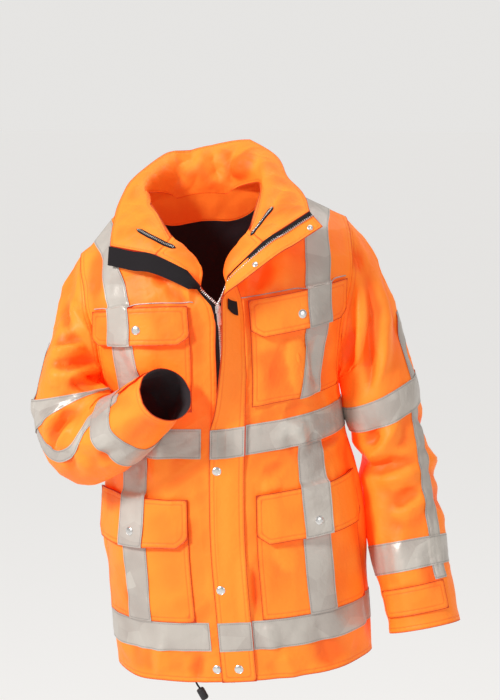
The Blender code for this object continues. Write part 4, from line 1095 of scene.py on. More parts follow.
def close_seam(surface: Surface, hosts: Sequence[Surface], tuck: float, overlap: float,
               reach: float) -> None:
    """Draws the border nearest the hosts in under or over them, so that no gap shows.

    Args:
        surface: the surface, changed in place.
        hosts: the surfaces that it is sewn to.
        tuck: how deep the border goes below the hosts' outer side.
        overlap: how far the border goes past the hosts' border.
        reach: how far in from the border the cloth follows.
    """
    seam, goal = [], []
    for host in hosts:
        outward, inward = host.outward(), host.inward()
        for loop in host.border():
            seam.append(host.places[loop])
            goal.append(host.places[loop] - outward[loop] * tuck + inward[loop] * overlap)
    seam, goal = np.concatenate(seam), np.concatenate(goal)
    finder = point_finder(seam)
    loop = min(surface.border(), key=lambda ring: nearest_points(finder, surface.places[ring])[1].mean())
    nearest, _ = nearest_points(finder, surface.places[loop])
    away = np.linalg.norm(seam[nearest] - surface.places[loop], axis=1)
    shift = (goal[nearest] - surface.places[loop]) * (1.0 - ease(away, *SEAM_REACH))[:, None]
    for _ in range(SEAM_ROUNDS):
        shift = (np.roll(shift, 1, axis=0) + 2.0 * shift + np.roll(shift, -1, axis=0)) / 4.0
    nearest, away = nearest_points(point_finder(surface.places[loop]), surface.places)
    share = 1.0 - ease(away, 0.0, reach)
    surface.places = surface.places + shift[nearest] * share[:, None]


def spread(faces: np.ndarray, values: np.ndarray, rounds: int) -> np.ndarray:
    """Values averaged with their neighbours.

    Args:
        faces: the quads that join the places.
        values: a value for each place.
        rounds: how often they are averaged.

    Returns:
        The new values.
    """
    for _ in range(rounds):
        total, count = np.zeros(len(values)), np.zeros(len(values))
        for k in range(4):
            for other in (faces[:, k - 1], faces[:, (k + 1) % 4]):
                np.add.at(total, faces[:, k], values[other])
                np.add.at(count, faces[:, k], 1.0)
        values = 0.5 * values + 0.5 * total / np.maximum(count, 1.0)
    return values


def widened(faces: np.ndarray, values: np.ndarray) -> np.ndarray:
    """The largest of each place's value and its neighbours' values.

    Args:
        faces: the quads that join the places.
        values: a value for each place.

    Returns:
        The new values.
    """
    highest = values[faces].max(axis=1)
    result = values.copy()
    for corner in faces.T:
        np.maximum.at(result, corner, highest)
    return result


# The angle between faces from which a shell or a hard piece has a sharp edge
CLOTH_SHARP = math.radians(50.0)
HARD_SHARP = math.radians(40.0)

# Stitches are gone within the first distance of where the run along a border starts or the
# longest run ends, and whole past the second
RUN_START = (0.002, 0.006)
RUN_END = (0.006, 0.010)


def cloth_object(name: str, surface: Surface, wall: float, outside: Finish, inside: Finish | None = None,
                 facing: np.ndarray | None = None, edging: Finish | None = None) -> bpy.types.Object:
    """A closed thin shell from one layer, its border rimmed.

    Args:
        name: the new object's name.
        surface: its outer layer.
        wall: its thickness.
        outside: the finish of the outer layer and the rim.
        inside: the finish of the inner layer, if it is another.
        facing: the quads whose inner side is faced with the outer cloth.
        edging: the finish of the rim, if it is another.

    Returns:
        The object, linked to the scene.
    """
    count = len(surface.places)
    edge, run = surface.measures()
    inner = surface.places - surface.outward() * wall
    rims = []
    for loop in surface.border():
        onward = np.roll(loop, -1)
        rims.append(np.stack([onward, loop, loop + count, onward + count], axis=1))
    rim = np.concatenate(rims)
    faces = np.concatenate([surface.faces, surface.faces[:, ::-1] + count, rim])
    mesh = bpy.data.meshes.new(name)
    mesh.vertices.add(2 * count)
    mesh.vertices.foreach_set("co", np.concatenate([surface.places, inner]).astype(np.float32).ravel())
    mesh.loops.add(4 * len(faces))
    mesh.loops.foreach_set("vertex_index", faces.astype(np.int32).ravel())
    mesh.polygons.add(len(faces))
    mesh.polygons.foreach_set("loop_start", np.arange(0, 4 * len(faces), 4, dtype=np.int32))
    mesh.update(calc_edges=True)
    mesh.shade_smooth()
    for finish in (outside, inside or outside, edging or outside):
        mesh.materials.append(finish.material())
    slots = np.zeros(len(faces), np.int32)
    slots[len(surface.faces):2 * len(surface.faces)] = 1 if facing is None else ~facing
    slots[2 * len(surface.faces):] = 2
    mesh.polygons.foreach_set("material_index", slots)
    mesh.set_sharp_from_angle(angle=CLOTH_SHARP)
    whole = ease(run, *RUN_START) * ease(run.max() - run, *RUN_END)
    for label, values in (("edge", edge), ("run", run), ("fold", surface.lifted), ("whole", whole)):
        layer = mesh.attributes.new(label, "FLOAT", "POINT")
        layer.data.foreach_set("value", np.concatenate([values, values]).astype(np.float32))
    return link_object(name, mesh)


def settle(piece: bpy.types.Object, nodes: Sequence[str] = ()) -> None:
    """Makes a finished piece ride on the body and stand for its nodes.

    Args:
        piece: the piece.
        nodes: the nodes that it replaces, if any.
    """
    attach(piece, BODY)
    if nodes:
        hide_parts(*nodes)
    LOG.info("%s: %d faces", piece.name, len(piece.data.polygons) if piece.type == "MESH" else 0)


# --- Sewn pieces -------------------------------------------------------------------------

@dataclass
class SewnPiece:
    """One cut piece of cloth, named as its node is."""

    node: str
    cut: tuple[float, float]
    area: float | None = None
    finish: Finish = ORANGE
    inside: Finish | None = None
    edging: Finish | None = None
    wall: float = 0.0012
    levels: int = 3
    corner: float = CLOTH_CORNER
    form: Form = Form.PANEL
    surface: Surface | None = None
    facing: np.ndarray | None = None

    def shape(self, host: Surface | None = None) -> Surface:
        """Makes the fine surface from the node.

        Args:
            host: the surface that tells the outer side.

        Returns:
            The surface, which the piece keeps.
        """
        self.surface = refine(*outer_layer(self.node, self.form, host), self.levels, self.corner)
        return self.surface

    def make(self, on: Sequence[str] = ()) -> None:
        """Args:
            on: names of the pieces that it rests on; not used.
        """
        piece = cloth_object(f"{self.node}_cloth", self.surface, self.wall, self.finish, self.inside,
                             self.facing, self.edging)
        settle(piece, [self.node])


@dataclass
class Overlay(SewnPiece):
    """A piece sewn on others: a pocket, flap or tab."""

    # The rim is painted dark, as shade along the piece's edge
    edging: Finish | None = PAINTED_SHADE_EDGE
    hosts: tuple[str, ...] = ()
    gap: float = POCKET_GAP
    stand: float = 0.0

    def sew(self, sewn: dict[str, SewnPiece]) -> None:
        """Lays the piece on its hosts and makes it.

        Args:
            sewn: the pieces that are made already, by node; this one is added.
        """
        under = [sewn[name].surface for name in self.hosts]
        self.shape(under[0])
        lay(self.surface, under, self.gap, press=True)
        if self.stand:
            heights = self.surface.places[:, 2]
            share = 1.0 - (heights - heights.min()) / np.ptp(heights)
            self.surface.places += self.surface.outward() * (self.stand * share ** 2)[:, None]
        sewn[self.node] = self
        self.make([f"{name}_cloth" for name in self.hosts])


@dataclass
class TapeStrip(Overlay):
    """A length of reflective tape sewn on others."""

    finish: Finish = TAPE
    edging: Finish | None = TAPE_EDGE
    wall: float = 0.0006
    levels: int = 4
    corner: float = TAPE_CORNER
    gap: float = 0.0008


def near_node(surface: Surface, node: str, reach: float) -> np.ndarray:
    """Which quads of a surface lie near a node.

    Args:
        surface: the surface.
        node: the node's name.
        reach: how near, in metres.

    Returns:
        True for each quad within reach.
    """
    finder = point_finder(vert.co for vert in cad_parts[node].data.vertices)
    centres = surface.places[surface.faces].mean(axis=1)
    return np.array([finder.find(centre)[2] < reach for centre in centres.tolist()])


def pair(name: str) -> tuple[str, str]:
    """The two names of a piece that both sides have."""
    return f"{name}_left", f"{name}_right"


@dataclass
class Garment:
    """The sewn cloth of the jacket, from the body outwards."""

    calm: np.ndarray
    sewn: dict[str, SewnPiece] = field(default_factory=dict)

    def build(self) -> None:
        """Makes every sewn piece in order."""
        self.build_body()
        self.build_sleeves()
        self.build_collar()
        self.build_storm_flap()
        for overlay in overlays():
            overlay.sew(self.sewn)

    def surfaces(self, *nodes: str) -> list[Surface]:
        """The surfaces of pieces that are made already."""
        return [self.sewn[node].surface for node in nodes]

    def fold_and_make(self, piece: SewnPiece, folding: Folding) -> None:
        """Folds a piece, which is shaped first if it isn't yet, and makes it.

        Args:
            piece: the piece.
            folding: its folds.
        """
        folding.apply(piece.surface or piece.shape())
        self.sewn[piece.node] = piece
        piece.make()

    def build_body(self) -> None:
        """The two fronts, the back, the zip tapes between the fronts and the strip at the neck."""
        body = Folding(BODY_FOLDS, BODY_CRUMPLES, self.calm)
        for node in pair("front"):
            piece = SewnPiece(node, cut=(0.36, 0.84), area=0.235, inside=FACED_LINING, levels=4)
            piece.facing = near_node(piece.shape(), node.replace("front", "zip_tape"), FACING_WIDTH)
            self.fold_and_make(piece, body)
        back = SewnPiece("back", cut=(0.60, 0.86), area=0.45, inside=FACED_LINING)
        self.fold_and_make(back, body)
        for node in pair("zip_tape"):
            tape = SewnPiece(node, cut=(0.010, 0.80), finish=DARK, wall=0.0009, levels=2)
            self.fold_and_make(tape, Folding(BODY_FOLDS, (), self.calm))
        guard = SewnPiece("guard_strip", cut=(0.036, 0.18), finish=DARK)
        self.fold_and_make(guard, Folding((), (), self.calm))

    def build_sleeves(self) -> None:
        """The two sleeves, drawn in under the body's armholes."""
        for side, area, folds in (("left", 0.27, LEFT_SLEEVE_FOLDS), ("right", 0.23, RIGHT_SLEEVE_FOLDS)):
            piece = SewnPiece(f"sleeve_{side}", cut=(0.56, 0.66), area=area, inside=LINING, form=Form.TUBE)
            surface = piece.shape()
            piece.facing = ~near_node(surface, f"cuff_tab_{side}", CUFF_LINING)
            centres = surface.places[surface.faces].mean(axis=1)
            piece.facing |= np.linalg.norm(centres - ELBOW_CREASE, axis=1) < CREASE_REACH
            hosts = self.surfaces(f"front_{side}", "back")
            close_seam(surface, hosts, tuck=0.0016, overlap=0.004, reach=0.016)
            self.fold_and_make(piece, Folding(folds, SLEEVE_CRUMPLES))

    def build_collar(self) -> None:
        """The stand-up collar, over the body's neck."""
        piece = SewnPiece("collar", cut=(0.56, 0.12), area=0.052, finish=ORANGE_PLAIN, wall=0.0022,
                          levels=4)
        hosts = self.surfaces(*pair("front"), "back")
        close_seam(piece.shape(), hosts, tuck=-0.0014, overlap=0.005, reach=0.020)
        self.fold_and_make(piece, Folding(COLLAR_FOLDS, COLLAR_CRUMPLES))

    def build_storm_flap(self) -> None:
        """The flap over the zip, lifted off the fronts where it would cut in."""
        piece = SewnPiece("storm_flap", cut=(0.070, 0.93), area=0.055, inside=ORANGE_PLAIN, wall=0.0018)
        Folding(BODY_FOLDS + FLAP_FOLDS, FLAP_CRUMPLES, self.calm).apply(piece.shape())
        lay(piece.surface, self.surfaces(*pair("front")), STORM_FLAP_GAP, press=False)
        self.sewn[piece.node] = piece
        piece.make()


def overlays() -> list[Overlay]:
    """The pieces sewn on the body and sleeves, lowest first, each with its flat width and length.

    Returns:
        The overlays, each after its hosts.
    """
    made: list[Overlay] = []
    for side in SIDES:
        front, sleeve, long_tape = f"front_{side}", f"sleeve_{side}", f"sleeve_long_tape_{side}"
        kinds = ("pocket", "flap", "pocket_tape")
        chest, chest_flap, chest_tape = (f"chest_{kind}_{side}" for kind in kinds)
        hip, hip_flap, hip_tape = (f"hip_{kind}_{side}" for kind in kinds)
        made += [
            Overlay(chest, (0.165, 0.215), hosts=(front,)),
            Overlay(hip, (0.215, 0.225), hosts=(front, "back")),
            TapeStrip(chest_tape, (0.050, 0.13), hosts=(chest, front)),
            TapeStrip(hip_tape, (0.050, 0.14), hosts=(hip, front)),
            TapeStrip(f"waist_tape_{side}", (0.25, 0.050), hosts=(front,)),
            TapeStrip(f"hem_tape_{side}", (0.27, 0.050), hosts=(front,)),
            Overlay(chest_flap, (0.19, 0.065), hosts=(chest, front, chest_tape),
                    gap=FLAP_GAP, stand=FLAP_STAND),
            Overlay(hip_flap, (0.21, 0.085), hosts=(hip, front, "back", hip_tape),
                    gap=FLAP_GAP, stand=FLAP_STAND),
            TapeStrip(f"brace_tape_{side}", (0.050, 0.26), hosts=(front, chest, chest_flap)),
            TapeStrip(f"hip_flap_tape_{side}", (0.050, 0.16), hosts=(front, hip, hip_flap)),
            TapeStrip(f"back_brace_{side}", (0.050, 0.72), hosts=("back",)),
            TapeStrip(long_tape, (0.028, 0.44), hosts=(sleeve,)),
            TapeStrip(f"sleeve_upper_tape_{side}", (0.44, 0.050), hosts=(sleeve, long_tape),
                      form=Form.TUBE),
            TapeStrip(f"sleeve_lower_tape_{side}", (0.42, 0.050), hosts=(sleeve, long_tape),
                      form=Form.TUBE),
            Overlay(f"cuff_tab_{side}", (0.115, 0.050), hosts=(sleeve, long_tape), gap=FLAP_GAP),
        ]
    for name in ("back_waist_tape", "back_hem_tape"):
        made.append(TapeStrip(name, (0.52, 0.052), hosts=("back", *pair("back_brace"))))
    for name in ("waist_tape_storm_flap", "hem_tape_storm_flap"):
        made.append(TapeStrip(name, (0.055, 0.050), hosts=("storm_flap",)))
    made.append(Overlay("flap_patch", (0.020, 0.026), finish=DARK, edging=None, wall=0.0010,
                        hosts=("storm_flap",), gap=STORM_FLAP_GAP))
    return made


# The crumples of each part, as height and size in metres and the seed of their waves
BODY_CRUMPLES = (Crumple(0.0022, 0.085, 3), Crumple(0.0010, 0.034, 8))
SLEEVE_CRUMPLES = (Crumple(0.0020, 0.060, 21), Crumple(0.0008, 0.030, 5))
COLLAR_CRUMPLES = (Crumple(0.0022, 0.050, 31), Crumple(0.0010, 0.026, 32))
FLAP_CRUMPLES = (Crumple(0.0005, 0.05, 4),)


# The folds of each part: the path on the view's two axes, then the width and the rise
BODY_FOLDS = (
    Fold(((0.157, -0.205), (0.170, -0.255), (0.176, -0.315)), 0.010, 0.0095, crisp=0.9),
    Fold(((0.176, -0.215), (0.186, -0.262), (0.190, -0.310)), 0.009, -0.0085, crisp=0.8),
    Fold(((0.196, -0.396), (0.219, -0.391), (0.240, -0.388)), 0.008, -0.0080, crisp=1.0),
    Fold(((0.160, -0.352), (0.176, -0.380), (0.180, -0.410)), 0.009, 0.0060, crisp=1.0),
    Fold(((0.205, -0.190), (0.196, -0.250), (0.204, -0.320)), 0.014, -0.0087),
    Fold(((0.100, -0.240), (0.104, -0.330)), 0.014, 0.0043),
    Fold(((0.126, -0.215), (0.132, -0.290)), 0.020, -0.0043),
    Fold(((0.098, -0.590), (0.104, -0.670)), 0.008, -0.0065, crisp=0.9),
    Fold(((0.086, -0.560), (0.090, -0.700)), 0.012, 0.0043),
    Fold(((0.135, -0.555), (0.168, -0.600)), 0.012, 0.0051),
    Fold(((0.113, -0.436), (0.150, -0.418)), 0.008, -0.0036, crisp=0.9),
    Fold(((0.110, -0.462), (0.146, -0.452)), 0.008, 0.0036, crisp=0.9),
    Fold(((0.110, -0.380), (0.200, -0.352)), 0.016, 0.0043),
    Fold(((-0.036, -0.100), (-0.015, -0.118), (0.010, -0.135)), 0.010, 0.0058, crisp=0.8),
    Fold(((-0.060, -0.098), (-0.040, -0.118)), 0.009, -0.0051),
    Fold(((-0.010, -0.100), (-0.002, -0.150)), 0.006, 0.0058, crisp=1.0),
    Fold(((-0.110, -0.205), (-0.060, -0.270)), 0.014, 0.0058),
    Fold(((-0.070, -0.250), (-0.020, -0.330)), 0.016, -0.0058),
    Fold(((-0.130, -0.330), (-0.100, -0.430), (-0.110, -0.480)), 0.018, -0.0087),
    Fold(((-0.060, -0.380), (-0.070, -0.460)), 0.016, 0.0043),
    Fold(((-0.140, -0.520), (-0.150, -0.620)), 0.020, 0.0058),
    Fold(((-0.120, -0.640), (-0.095, -0.700)), 0.015, -0.0072),
    Fold(((-0.150, -0.700), (-0.130, -0.790)), 0.014, 0.0072, crisp=0.8),
    Fold(((-0.060, -0.740), (-0.070, -0.800)), 0.010, 0.0043, crisp=0.8),
    Fold(((0.010, -0.745), (0.000, -0.800)), 0.010, -0.0043, crisp=0.8),
    Fold(((0.120, -0.690), (0.135, -0.740)), 0.010, 0.0051, crisp=0.9),
    Fold(((0.150, -0.740), (0.170, -0.790)), 0.014, 0.0058, crisp=0.8),
    Fold(((0.200, -0.680), (0.235, -0.780)), 0.018, -0.0072),
    Fold(((0.225, -0.420), (0.240, -0.560)), 0.018, 0.0072),
    Fold(((-0.085, -0.060), (-0.150, -0.115)), 0.016, 0.0058),
    Fold(((-0.160, -0.080), (-0.185, -0.150)), 0.014, -0.0058),
    Fold(((0.115, -0.080), (0.105, -0.130)), 0.012, -0.0058),
    Fold(((0.140, -0.060), (0.150, -0.130)), 0.016, 0.0043),
    Fold(((0.010, -0.060), (0.020, -0.250), (0.000, -0.420)), 0.030, 0.0072, View.BACK, 0.2),
    Fold(((-0.100, -0.180), (-0.060, -0.330)), 0.022, -0.0087, View.BACK),
    Fold(((0.130, -0.150), (0.090, -0.320)), 0.022, -0.0087, View.BACK),
    Fold(((-0.160, -0.250), (-0.110, -0.380)), 0.016, 0.0087, View.BACK, 0.8),
    Fold(((0.190, -0.230), (0.150, -0.370)), 0.016, 0.0087, View.BACK, 0.8),
    Fold(((-0.120, -0.440), (0.010, -0.475), (0.140, -0.440)), 0.018, 0.0072, View.BACK),
    Fold(((-0.090, -0.500), (0.050, -0.520)), 0.018, -0.0072, View.BACK),
    Fold(((0.040, -0.560), (0.070, -0.780)), 0.024, 0.0087, View.BACK, 0.3),
    Fold(((-0.050, -0.600), (-0.060, -0.790)), 0.024, -0.0072, View.BACK, 0.3),
    Fold(((0.180, -0.520), (0.200, -0.760)), 0.022, 0.0072, View.BACK, 0.3),
    Fold(((0.040, -0.380), (-0.010, -0.520), (0.020, -0.640)), 0.018, 0.0087, View.LEFT),
    Fold(((-0.030, -0.560), (-0.020, -0.760)), 0.018, -0.0072, View.LEFT),
    Fold(((0.060, -0.400), (0.020, -0.560)), 0.018, -0.0072, View.RIGHT),
    Fold(((-0.040, -0.460), (0.000, -0.640)), 0.018, 0.0087, View.RIGHT),
)
FLAP_FOLDS = (
    Fold(((0.060, -0.380), (0.062, -0.640)), 0.012, 0.0017, crisp=0.2),
)
LEFT_SLEEVE_FOLDS = (
    Fold(((0.278, -0.120), (0.294, -0.175), (0.289, -0.230), (0.281, -0.315)), 0.011, -0.0125, crisp=0.8),
    Fold(((0.298, -0.110), (0.312, -0.175), (0.306, -0.240), (0.300, -0.320)), 0.012, 0.0080, crisp=0.9),
    Fold(((0.262, -0.120), (0.268, -0.200), (0.258, -0.290)), 0.009, 0.0075, crisp=0.8),
    Fold(((0.257, -0.205), (0.247, -0.243), (0.238, -0.290)), 0.010, -0.0110, crisp=0.9),
    Fold(((0.255, -0.070), (0.262, -0.110)), 0.009, -0.0080, crisp=0.8),
    Fold(((0.336, -0.362), (0.320, -0.387), (0.306, -0.407), (0.280, -0.446)), 0.013, 0.0125, crisp=1.0),
    Fold(((0.300, -0.385), (0.284, -0.412)), 0.012, -0.0095, crisp=0.7),
    Fold(((0.278, -0.452), (0.310, -0.440), (0.367, -0.431)), 0.011, -0.0105, crisp=0.9),
    Fold(((0.300, -0.470), (0.345, -0.458), (0.378, -0.450)), 0.012, 0.0080, crisp=0.8),
    Fold(((0.328, -0.508), (0.352, -0.492), (0.372, -0.480)), 0.011, -0.0085, crisp=0.9),
    Fold(((0.318, -0.525), (0.352, -0.512), (0.388, -0.496)), 0.012, 0.0070, crisp=0.7),
    Fold(((0.335, -0.560), (0.352, -0.640)), 0.018, 0.0050, crisp=0.3),
    Fold(((0.395, -0.560), (0.402, -0.650)), 0.016, -0.0050, crisp=0.3),
    Fold(((0.022, -0.235), (0.018, -0.300), (0.015, -0.360), (0.015, -0.400)),
         0.045, 0.0125, View.RIGHT, 0.0),
    Fold(((-0.040, -0.448), (0.020, -0.446), (0.070, -0.440)), 0.016, -0.0140, View.RIGHT, 0.9),
    Fold(((0.040, -0.120), (0.060, -0.280)), 0.018, 0.0087, View.LEFT),
    Fold(((0.000, -0.360), (0.060, -0.400), (0.100, -0.390)), 0.014, -0.0087, View.LEFT, 0.7),
    Fold(((-0.010, -0.430), (0.050, -0.450), (0.095, -0.440)), 0.014, 0.0101, View.LEFT, 0.7),
    Fold(((-0.020, -0.500), (0.050, -0.520)), 0.014, -0.0072, View.LEFT, 0.7),
    Fold(((0.240, -0.160), (0.270, -0.280)), 0.018, -0.0087, View.BACK),
    Fold(((0.280, -0.330), (0.320, -0.360), (0.350, -0.350)), 0.014, 0.0087, View.BACK, 0.7),
    Fold(((0.285, -0.400), (0.330, -0.430), (0.370, -0.410)), 0.014, -0.0087, View.BACK, 0.7),
    Fold(((0.300, -0.470), (0.350, -0.490)), 0.014, 0.0087, View.BACK, 0.7),
)
RIGHT_SLEEVE_FOLDS = (
    Fold(((-0.236, -0.253), (-0.209, -0.248), (-0.190, -0.250), (-0.172, -0.266)),
         0.010, -0.0105, crisp=1.0),
    Fold(((-0.240, -0.236), (-0.205, -0.231), (-0.180, -0.238)), 0.009, 0.0085, crisp=0.7),
    Fold(((-0.240, -0.219), (-0.208, -0.217), (-0.187, -0.217)), 0.008, -0.0060, crisp=0.9),
    Fold(((-0.205, -0.284), (-0.180, -0.284), (-0.150, -0.288)), 0.010, -0.0105, crisp=1.0),
    Fold(((-0.196, -0.266), (-0.168, -0.274), (-0.150, -0.268)), 0.008, 0.0080, crisp=1.0),
    Fold(((-0.240, -0.275), (-0.215, -0.272)), 0.010, 0.0070, crisp=0.8),
    Fold(((-0.222, -0.159), (-0.200, -0.180), (-0.182, -0.205), (-0.165, -0.235)),
         0.010, 0.0080, crisp=0.8),
    Fold(((-0.232, -0.165), (-0.215, -0.195)), 0.010, -0.0060, crisp=0.8),
    Fold(((-0.240, -0.395), (-0.231, -0.366), (-0.212, -0.338), (-0.188, -0.326)),
         0.009, -0.0120, crisp=1.0),
    Fold(((-0.246, -0.375), (-0.236, -0.350), (-0.215, -0.326)), 0.009, 0.0085, crisp=0.9),
    Fold(((-0.222, -0.395), (-0.205, -0.362), (-0.190, -0.350)), 0.010, 0.0080, crisp=0.9),
    Fold(((-0.206, -0.382), (-0.156, -0.368), (-0.123, -0.345), (-0.084, -0.317), (-0.060, -0.306)),
         0.020, 0.0085, crisp=1.0),
    Fold(((-0.200, -0.390), (-0.201, -0.408), (-0.202, -0.430)), 0.008, -0.0055, crisp=1.0),
    Fold(((-0.178, -0.396), (-0.165, -0.424)), 0.010, 0.0045, crisp=0.9),
    Fold(((-0.148, -0.385), (-0.120, -0.395)), 0.010, -0.0055, crisp=0.8),
    Fold(((0.020, -0.140), (-0.020, -0.280)), 0.018, 0.0087, View.RIGHT),
    Fold(((-0.030, -0.200), (-0.090, -0.300)), 0.016, -0.0087, View.RIGHT),
    Fold(((-0.060, -0.340), (-0.130, -0.330)), 0.014, 0.0087, View.RIGHT, 0.7),
    Fold(((-0.210, -0.180), (-0.190, -0.280)), 0.018, 0.0072, View.BACK),
)
COLLAR_FOLDS = (
    Fold(((0.098, 0.075), (0.099, 0.040), (0.096, 0.005), (0.104, -0.040)), 0.009, 0.0090, crisp=1.0),
    Fold(((0.107, 0.070), (0.120, 0.035), (0.131, -0.005)), 0.009, -0.0085, crisp=1.0),
    Fold(((0.076, 0.080), (0.080, 0.035)), 0.009, -0.0075, crisp=0.9),
    Fold(((0.150, 0.010), (0.120, -0.040)), 0.012, 0.0065, crisp=0.8),
    Fold(((-0.100, 0.066), (-0.079, 0.033), (-0.074, 0.005)), 0.009, 0.0090, crisp=1.0),
    Fold(((-0.116, 0.040), (-0.098, 0.015), (-0.088, -0.020)), 0.009, -0.0085, crisp=1.0),
    Fold(((-0.060, 0.070), (-0.050, 0.030)), 0.010, -0.0075, crisp=0.9),
    Fold(((-0.135, -0.010), (-0.095, -0.050)), 0.011, 0.0070, crisp=0.9),
    Fold(((-0.060, 0.060), (-0.020, 0.080)), 0.012, 0.0080, View.BACK, 0.8),
    Fold(((0.000, 0.085), (0.015, 0.030)), 0.012, 0.0070, View.BACK, 0.8),
    Fold(((0.040, 0.040), (0.080, 0.085)), 0.012, -0.0080, View.BACK, 0.8),
)


# --- Zip, snaps and cord -----------------------------------------------------------------

@dataclass
class ZipTeeth:
    """A row of metal teeth along the free edge of a zip tape."""

    name: str
    pitch: float = 0.0034
    size: Place = (0.0044, 0.0020, 0.0026)
    bevel: float = 0.0005
    lift: float = 0.0004

    def path(self, tape: Surface, front: Surface) -> np.ndarray:
        """The tape's free long side, in order.

        Args:
            tape: the tape's surface.
            front: the front that it is sewn to.

        Returns:
            The points of its free side, from the hem up.
        """
        loop = max(tape.border(), key=len)
        places = tape.places[loop]
        ends = [int(np.argmin(places[:, 2])), int(np.argmax(places[:, 2]))]
        low, high = min(ends), max(ends)
        halves = [places[low:high + 1], np.concatenate([places[high:], places[:low + 1]])]
        tree = front.tree()
        clear = [np.mean([tree.find_nearest(Vector(p))[3] for p in half[::4]]) for half in halves]
        side = halves[int(np.argmax(clear))]
        return side if side[0, 2] < side[-1, 2] else side[::-1]

    def make(self, tape: Surface, front: Surface) -> None:
        """Builds the row of teeth as one piece.

        Args:
            tape: the zip tape's surface.
            front: the front that it is sewn to.
        """
        side = self.path(tape, front)
        tree = tape.tree()
        run = runs_along(side)
        spots = sampled(side, run, np.arange(self.pitch, run[-1] - self.pitch, self.pitch))
        tooth = rounded_box(self.size, self.bevel)
        teeth = bmesh.new()
        for k, spot in enumerate(spots):
            ahead = spots[min(k + 1, len(spots) - 1)] - spots[max(k - 1, 0)]
            out = tree.find_nearest(Vector(spot))[1]
            add_copy(teeth, tooth, placement(spot + np.array(out) * self.lift, ahead, out))
        settle(object_from(teeth, f"{self.name}_teeth", METAL))


def rounded_box(size: Place, radius: float) -> bpy.types.Mesh:
    """A bevelled box round the origin.

    Args:
        size: its three sides.
        radius: its bevel.

    Returns:
        The mesh.
    """
    block = bmesh.new()
    bmesh.ops.create_cube(block, size=1.0)
    bmesh.ops.scale(block, vec=size, verts=block.verts)
    bmesh.ops.bevel(block, geom=block.edges[:], offset=radius, segments=1, affect="EDGES")
    mesh = bpy.data.meshes.new("block")
    block.to_mesh(mesh)
    block.free()
    return mesh


def placement(spot: Sequence[float], along: Sequence[float], out: Sequence[float]) -> Matrix:
    """A placement whose local y lies along and whose local z points out.

    Args:
        spot: the place of its origin.
        along: the direction of local y, nearly.
        out: the direction of local z.

    Returns:
        The matrix.
    """
    z = Vector(out).normalized()
    x = Vector(along).cross(z).normalized()
    y = z.cross(x)
    return Matrix.Translation(Vector(spot)) @ Matrix((x, y, z)).transposed().to_4x4()


def add_copy(target: bmesh.types.BMesh, mesh: bpy.types.Mesh, place: Matrix) -> None:
    """Adds a placed copy of a mesh to another.

    Args:
        target: the mesh that grows.
        mesh: the shape that is copied.
        place: where the copy goes.
    """
    before = len(target.verts)
    target.from_mesh(mesh)
    target.verts.ensure_lookup_table()
    bmesh.ops.transform(target, matrix=place, verts=target.verts[before:])


def object_from(made: bmesh.types.BMesh, name: str, finish: Finish) -> bpy.types.Object:
    """A smooth-shaded object from a finished mesh.

    Args:
        made: the mesh, which is freed.
        name: the object's name.
        finish: its finish.

    Returns:
        The object, linked to the scene.
    """
    mesh = bpy.data.meshes.new(name)
    made.to_mesh(mesh)
    made.free()
    mesh.shade_smooth()
    mesh.set_sharp_from_angle(angle=HARD_SHARP)
    mesh.materials.append(finish.material())
    return link_object(name, mesh)


def lathe(profile: Sequence[tuple[float, float]], sides: int = 40) -> bmesh.types.BMesh:
    """A turned shape about local z.

    Args:
        profile: (radius, height) points from the top's centre down and in to the foot's centre.
        sides: how many sides it has.

    Returns:
        The closed mesh.
    """
    made = bmesh.new()
    rings = []
    for radius, height in profile:
        if radius == 0.0:
            rings.append([made.verts.new((0.0, 0.0, height))])
            continue
        turn = [2.0 * math.pi * k / sides for k in range(sides)]
        rings.append([made.verts.new((radius * math.cos(a), radius * math.sin(a), height)) for a in turn])
    for upper, lower in zip(rings, rings[1:]):
        for k in range(sides):
            corners = [upper[k % len(upper)], lower[k % len(lower)],
                       lower[(k + 1) % len(lower)], upper[(k + 1) % len(upper)]]
            made.faces.new(list(dict.fromkeys(corners)))
    bmesh.ops.recalc_face_normals(made, faces=made.faces)
    return made


def middle(node: str) -> Vector:
    """The middle of a node's box."""
    low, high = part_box(node)
    return (low + high) / 2.0


def topmost(trees: Sequence[BVHTree], spot: Vector) -> tuple[Vector, Vector]:
    """Where the uppermost of some cloths lies at a point near them.

    Args:
        trees: search trees of the cloths.
        spot: the point.

    Returns:
        The place, or the point itself where no cloth is met, and the way out of the cloth.
    """
    out = min((tree.find_nearest(spot) for tree in trees), key=lambda hit: hit[3])[1]
    hits = [tree.ray_cast(spot + out * REACH, -out, 2.0 * REACH) for tree in trees]
    found = [hit for hit in hits if hit[0] is not None]
    return min(found, key=lambda hit: hit[3])[0] if found else spot, out


# Turned profiles, as (radius, height) in metres from the top's centre to the foot's
SNAP_PROFILE = (
    (0.0, 0.00225), (0.0030, 0.00220), (0.0048, 0.00195), (0.0060, 0.0014), (0.0066, 0.0010),
    (0.0068, 0.00085), (0.0070, 0.0010), (0.0074, 0.0007), (0.0075, 0.0002), (0.0073, -0.0004),
    (0.0, -0.0004),
)
STUD_PROFILE = (
    (0.0, 0.0006), (0.0014, 0.0006), (0.0016, 0.0018), (0.0026, 0.0022), (0.0040, 0.0020),
    (0.0048, 0.0012), (0.0050, 0.0002), (0.0048, -0.0006), (0.0, -0.0006),
)


@dataclass
class Snap:
    """A press stud's cap, sitting on the cloth that it is set in."""

    node: str
    hosts: tuple[str, ...]

    def make(self, sewn: dict[str, SewnPiece]) -> None:
        """Puts the cap on the topmost cloth at its node.

        Args:
            sewn: the sewn pieces by node.
        """
        place, out = topmost([sewn[name].surface.tree() for name in self.hosts], middle(self.node))
        cap = lathe(SNAP_PROFILE)
        cap.transform(placement(place, UP, out))
        settle(object_from(cap, f"{self.node}_cap", METAL), [self.node])


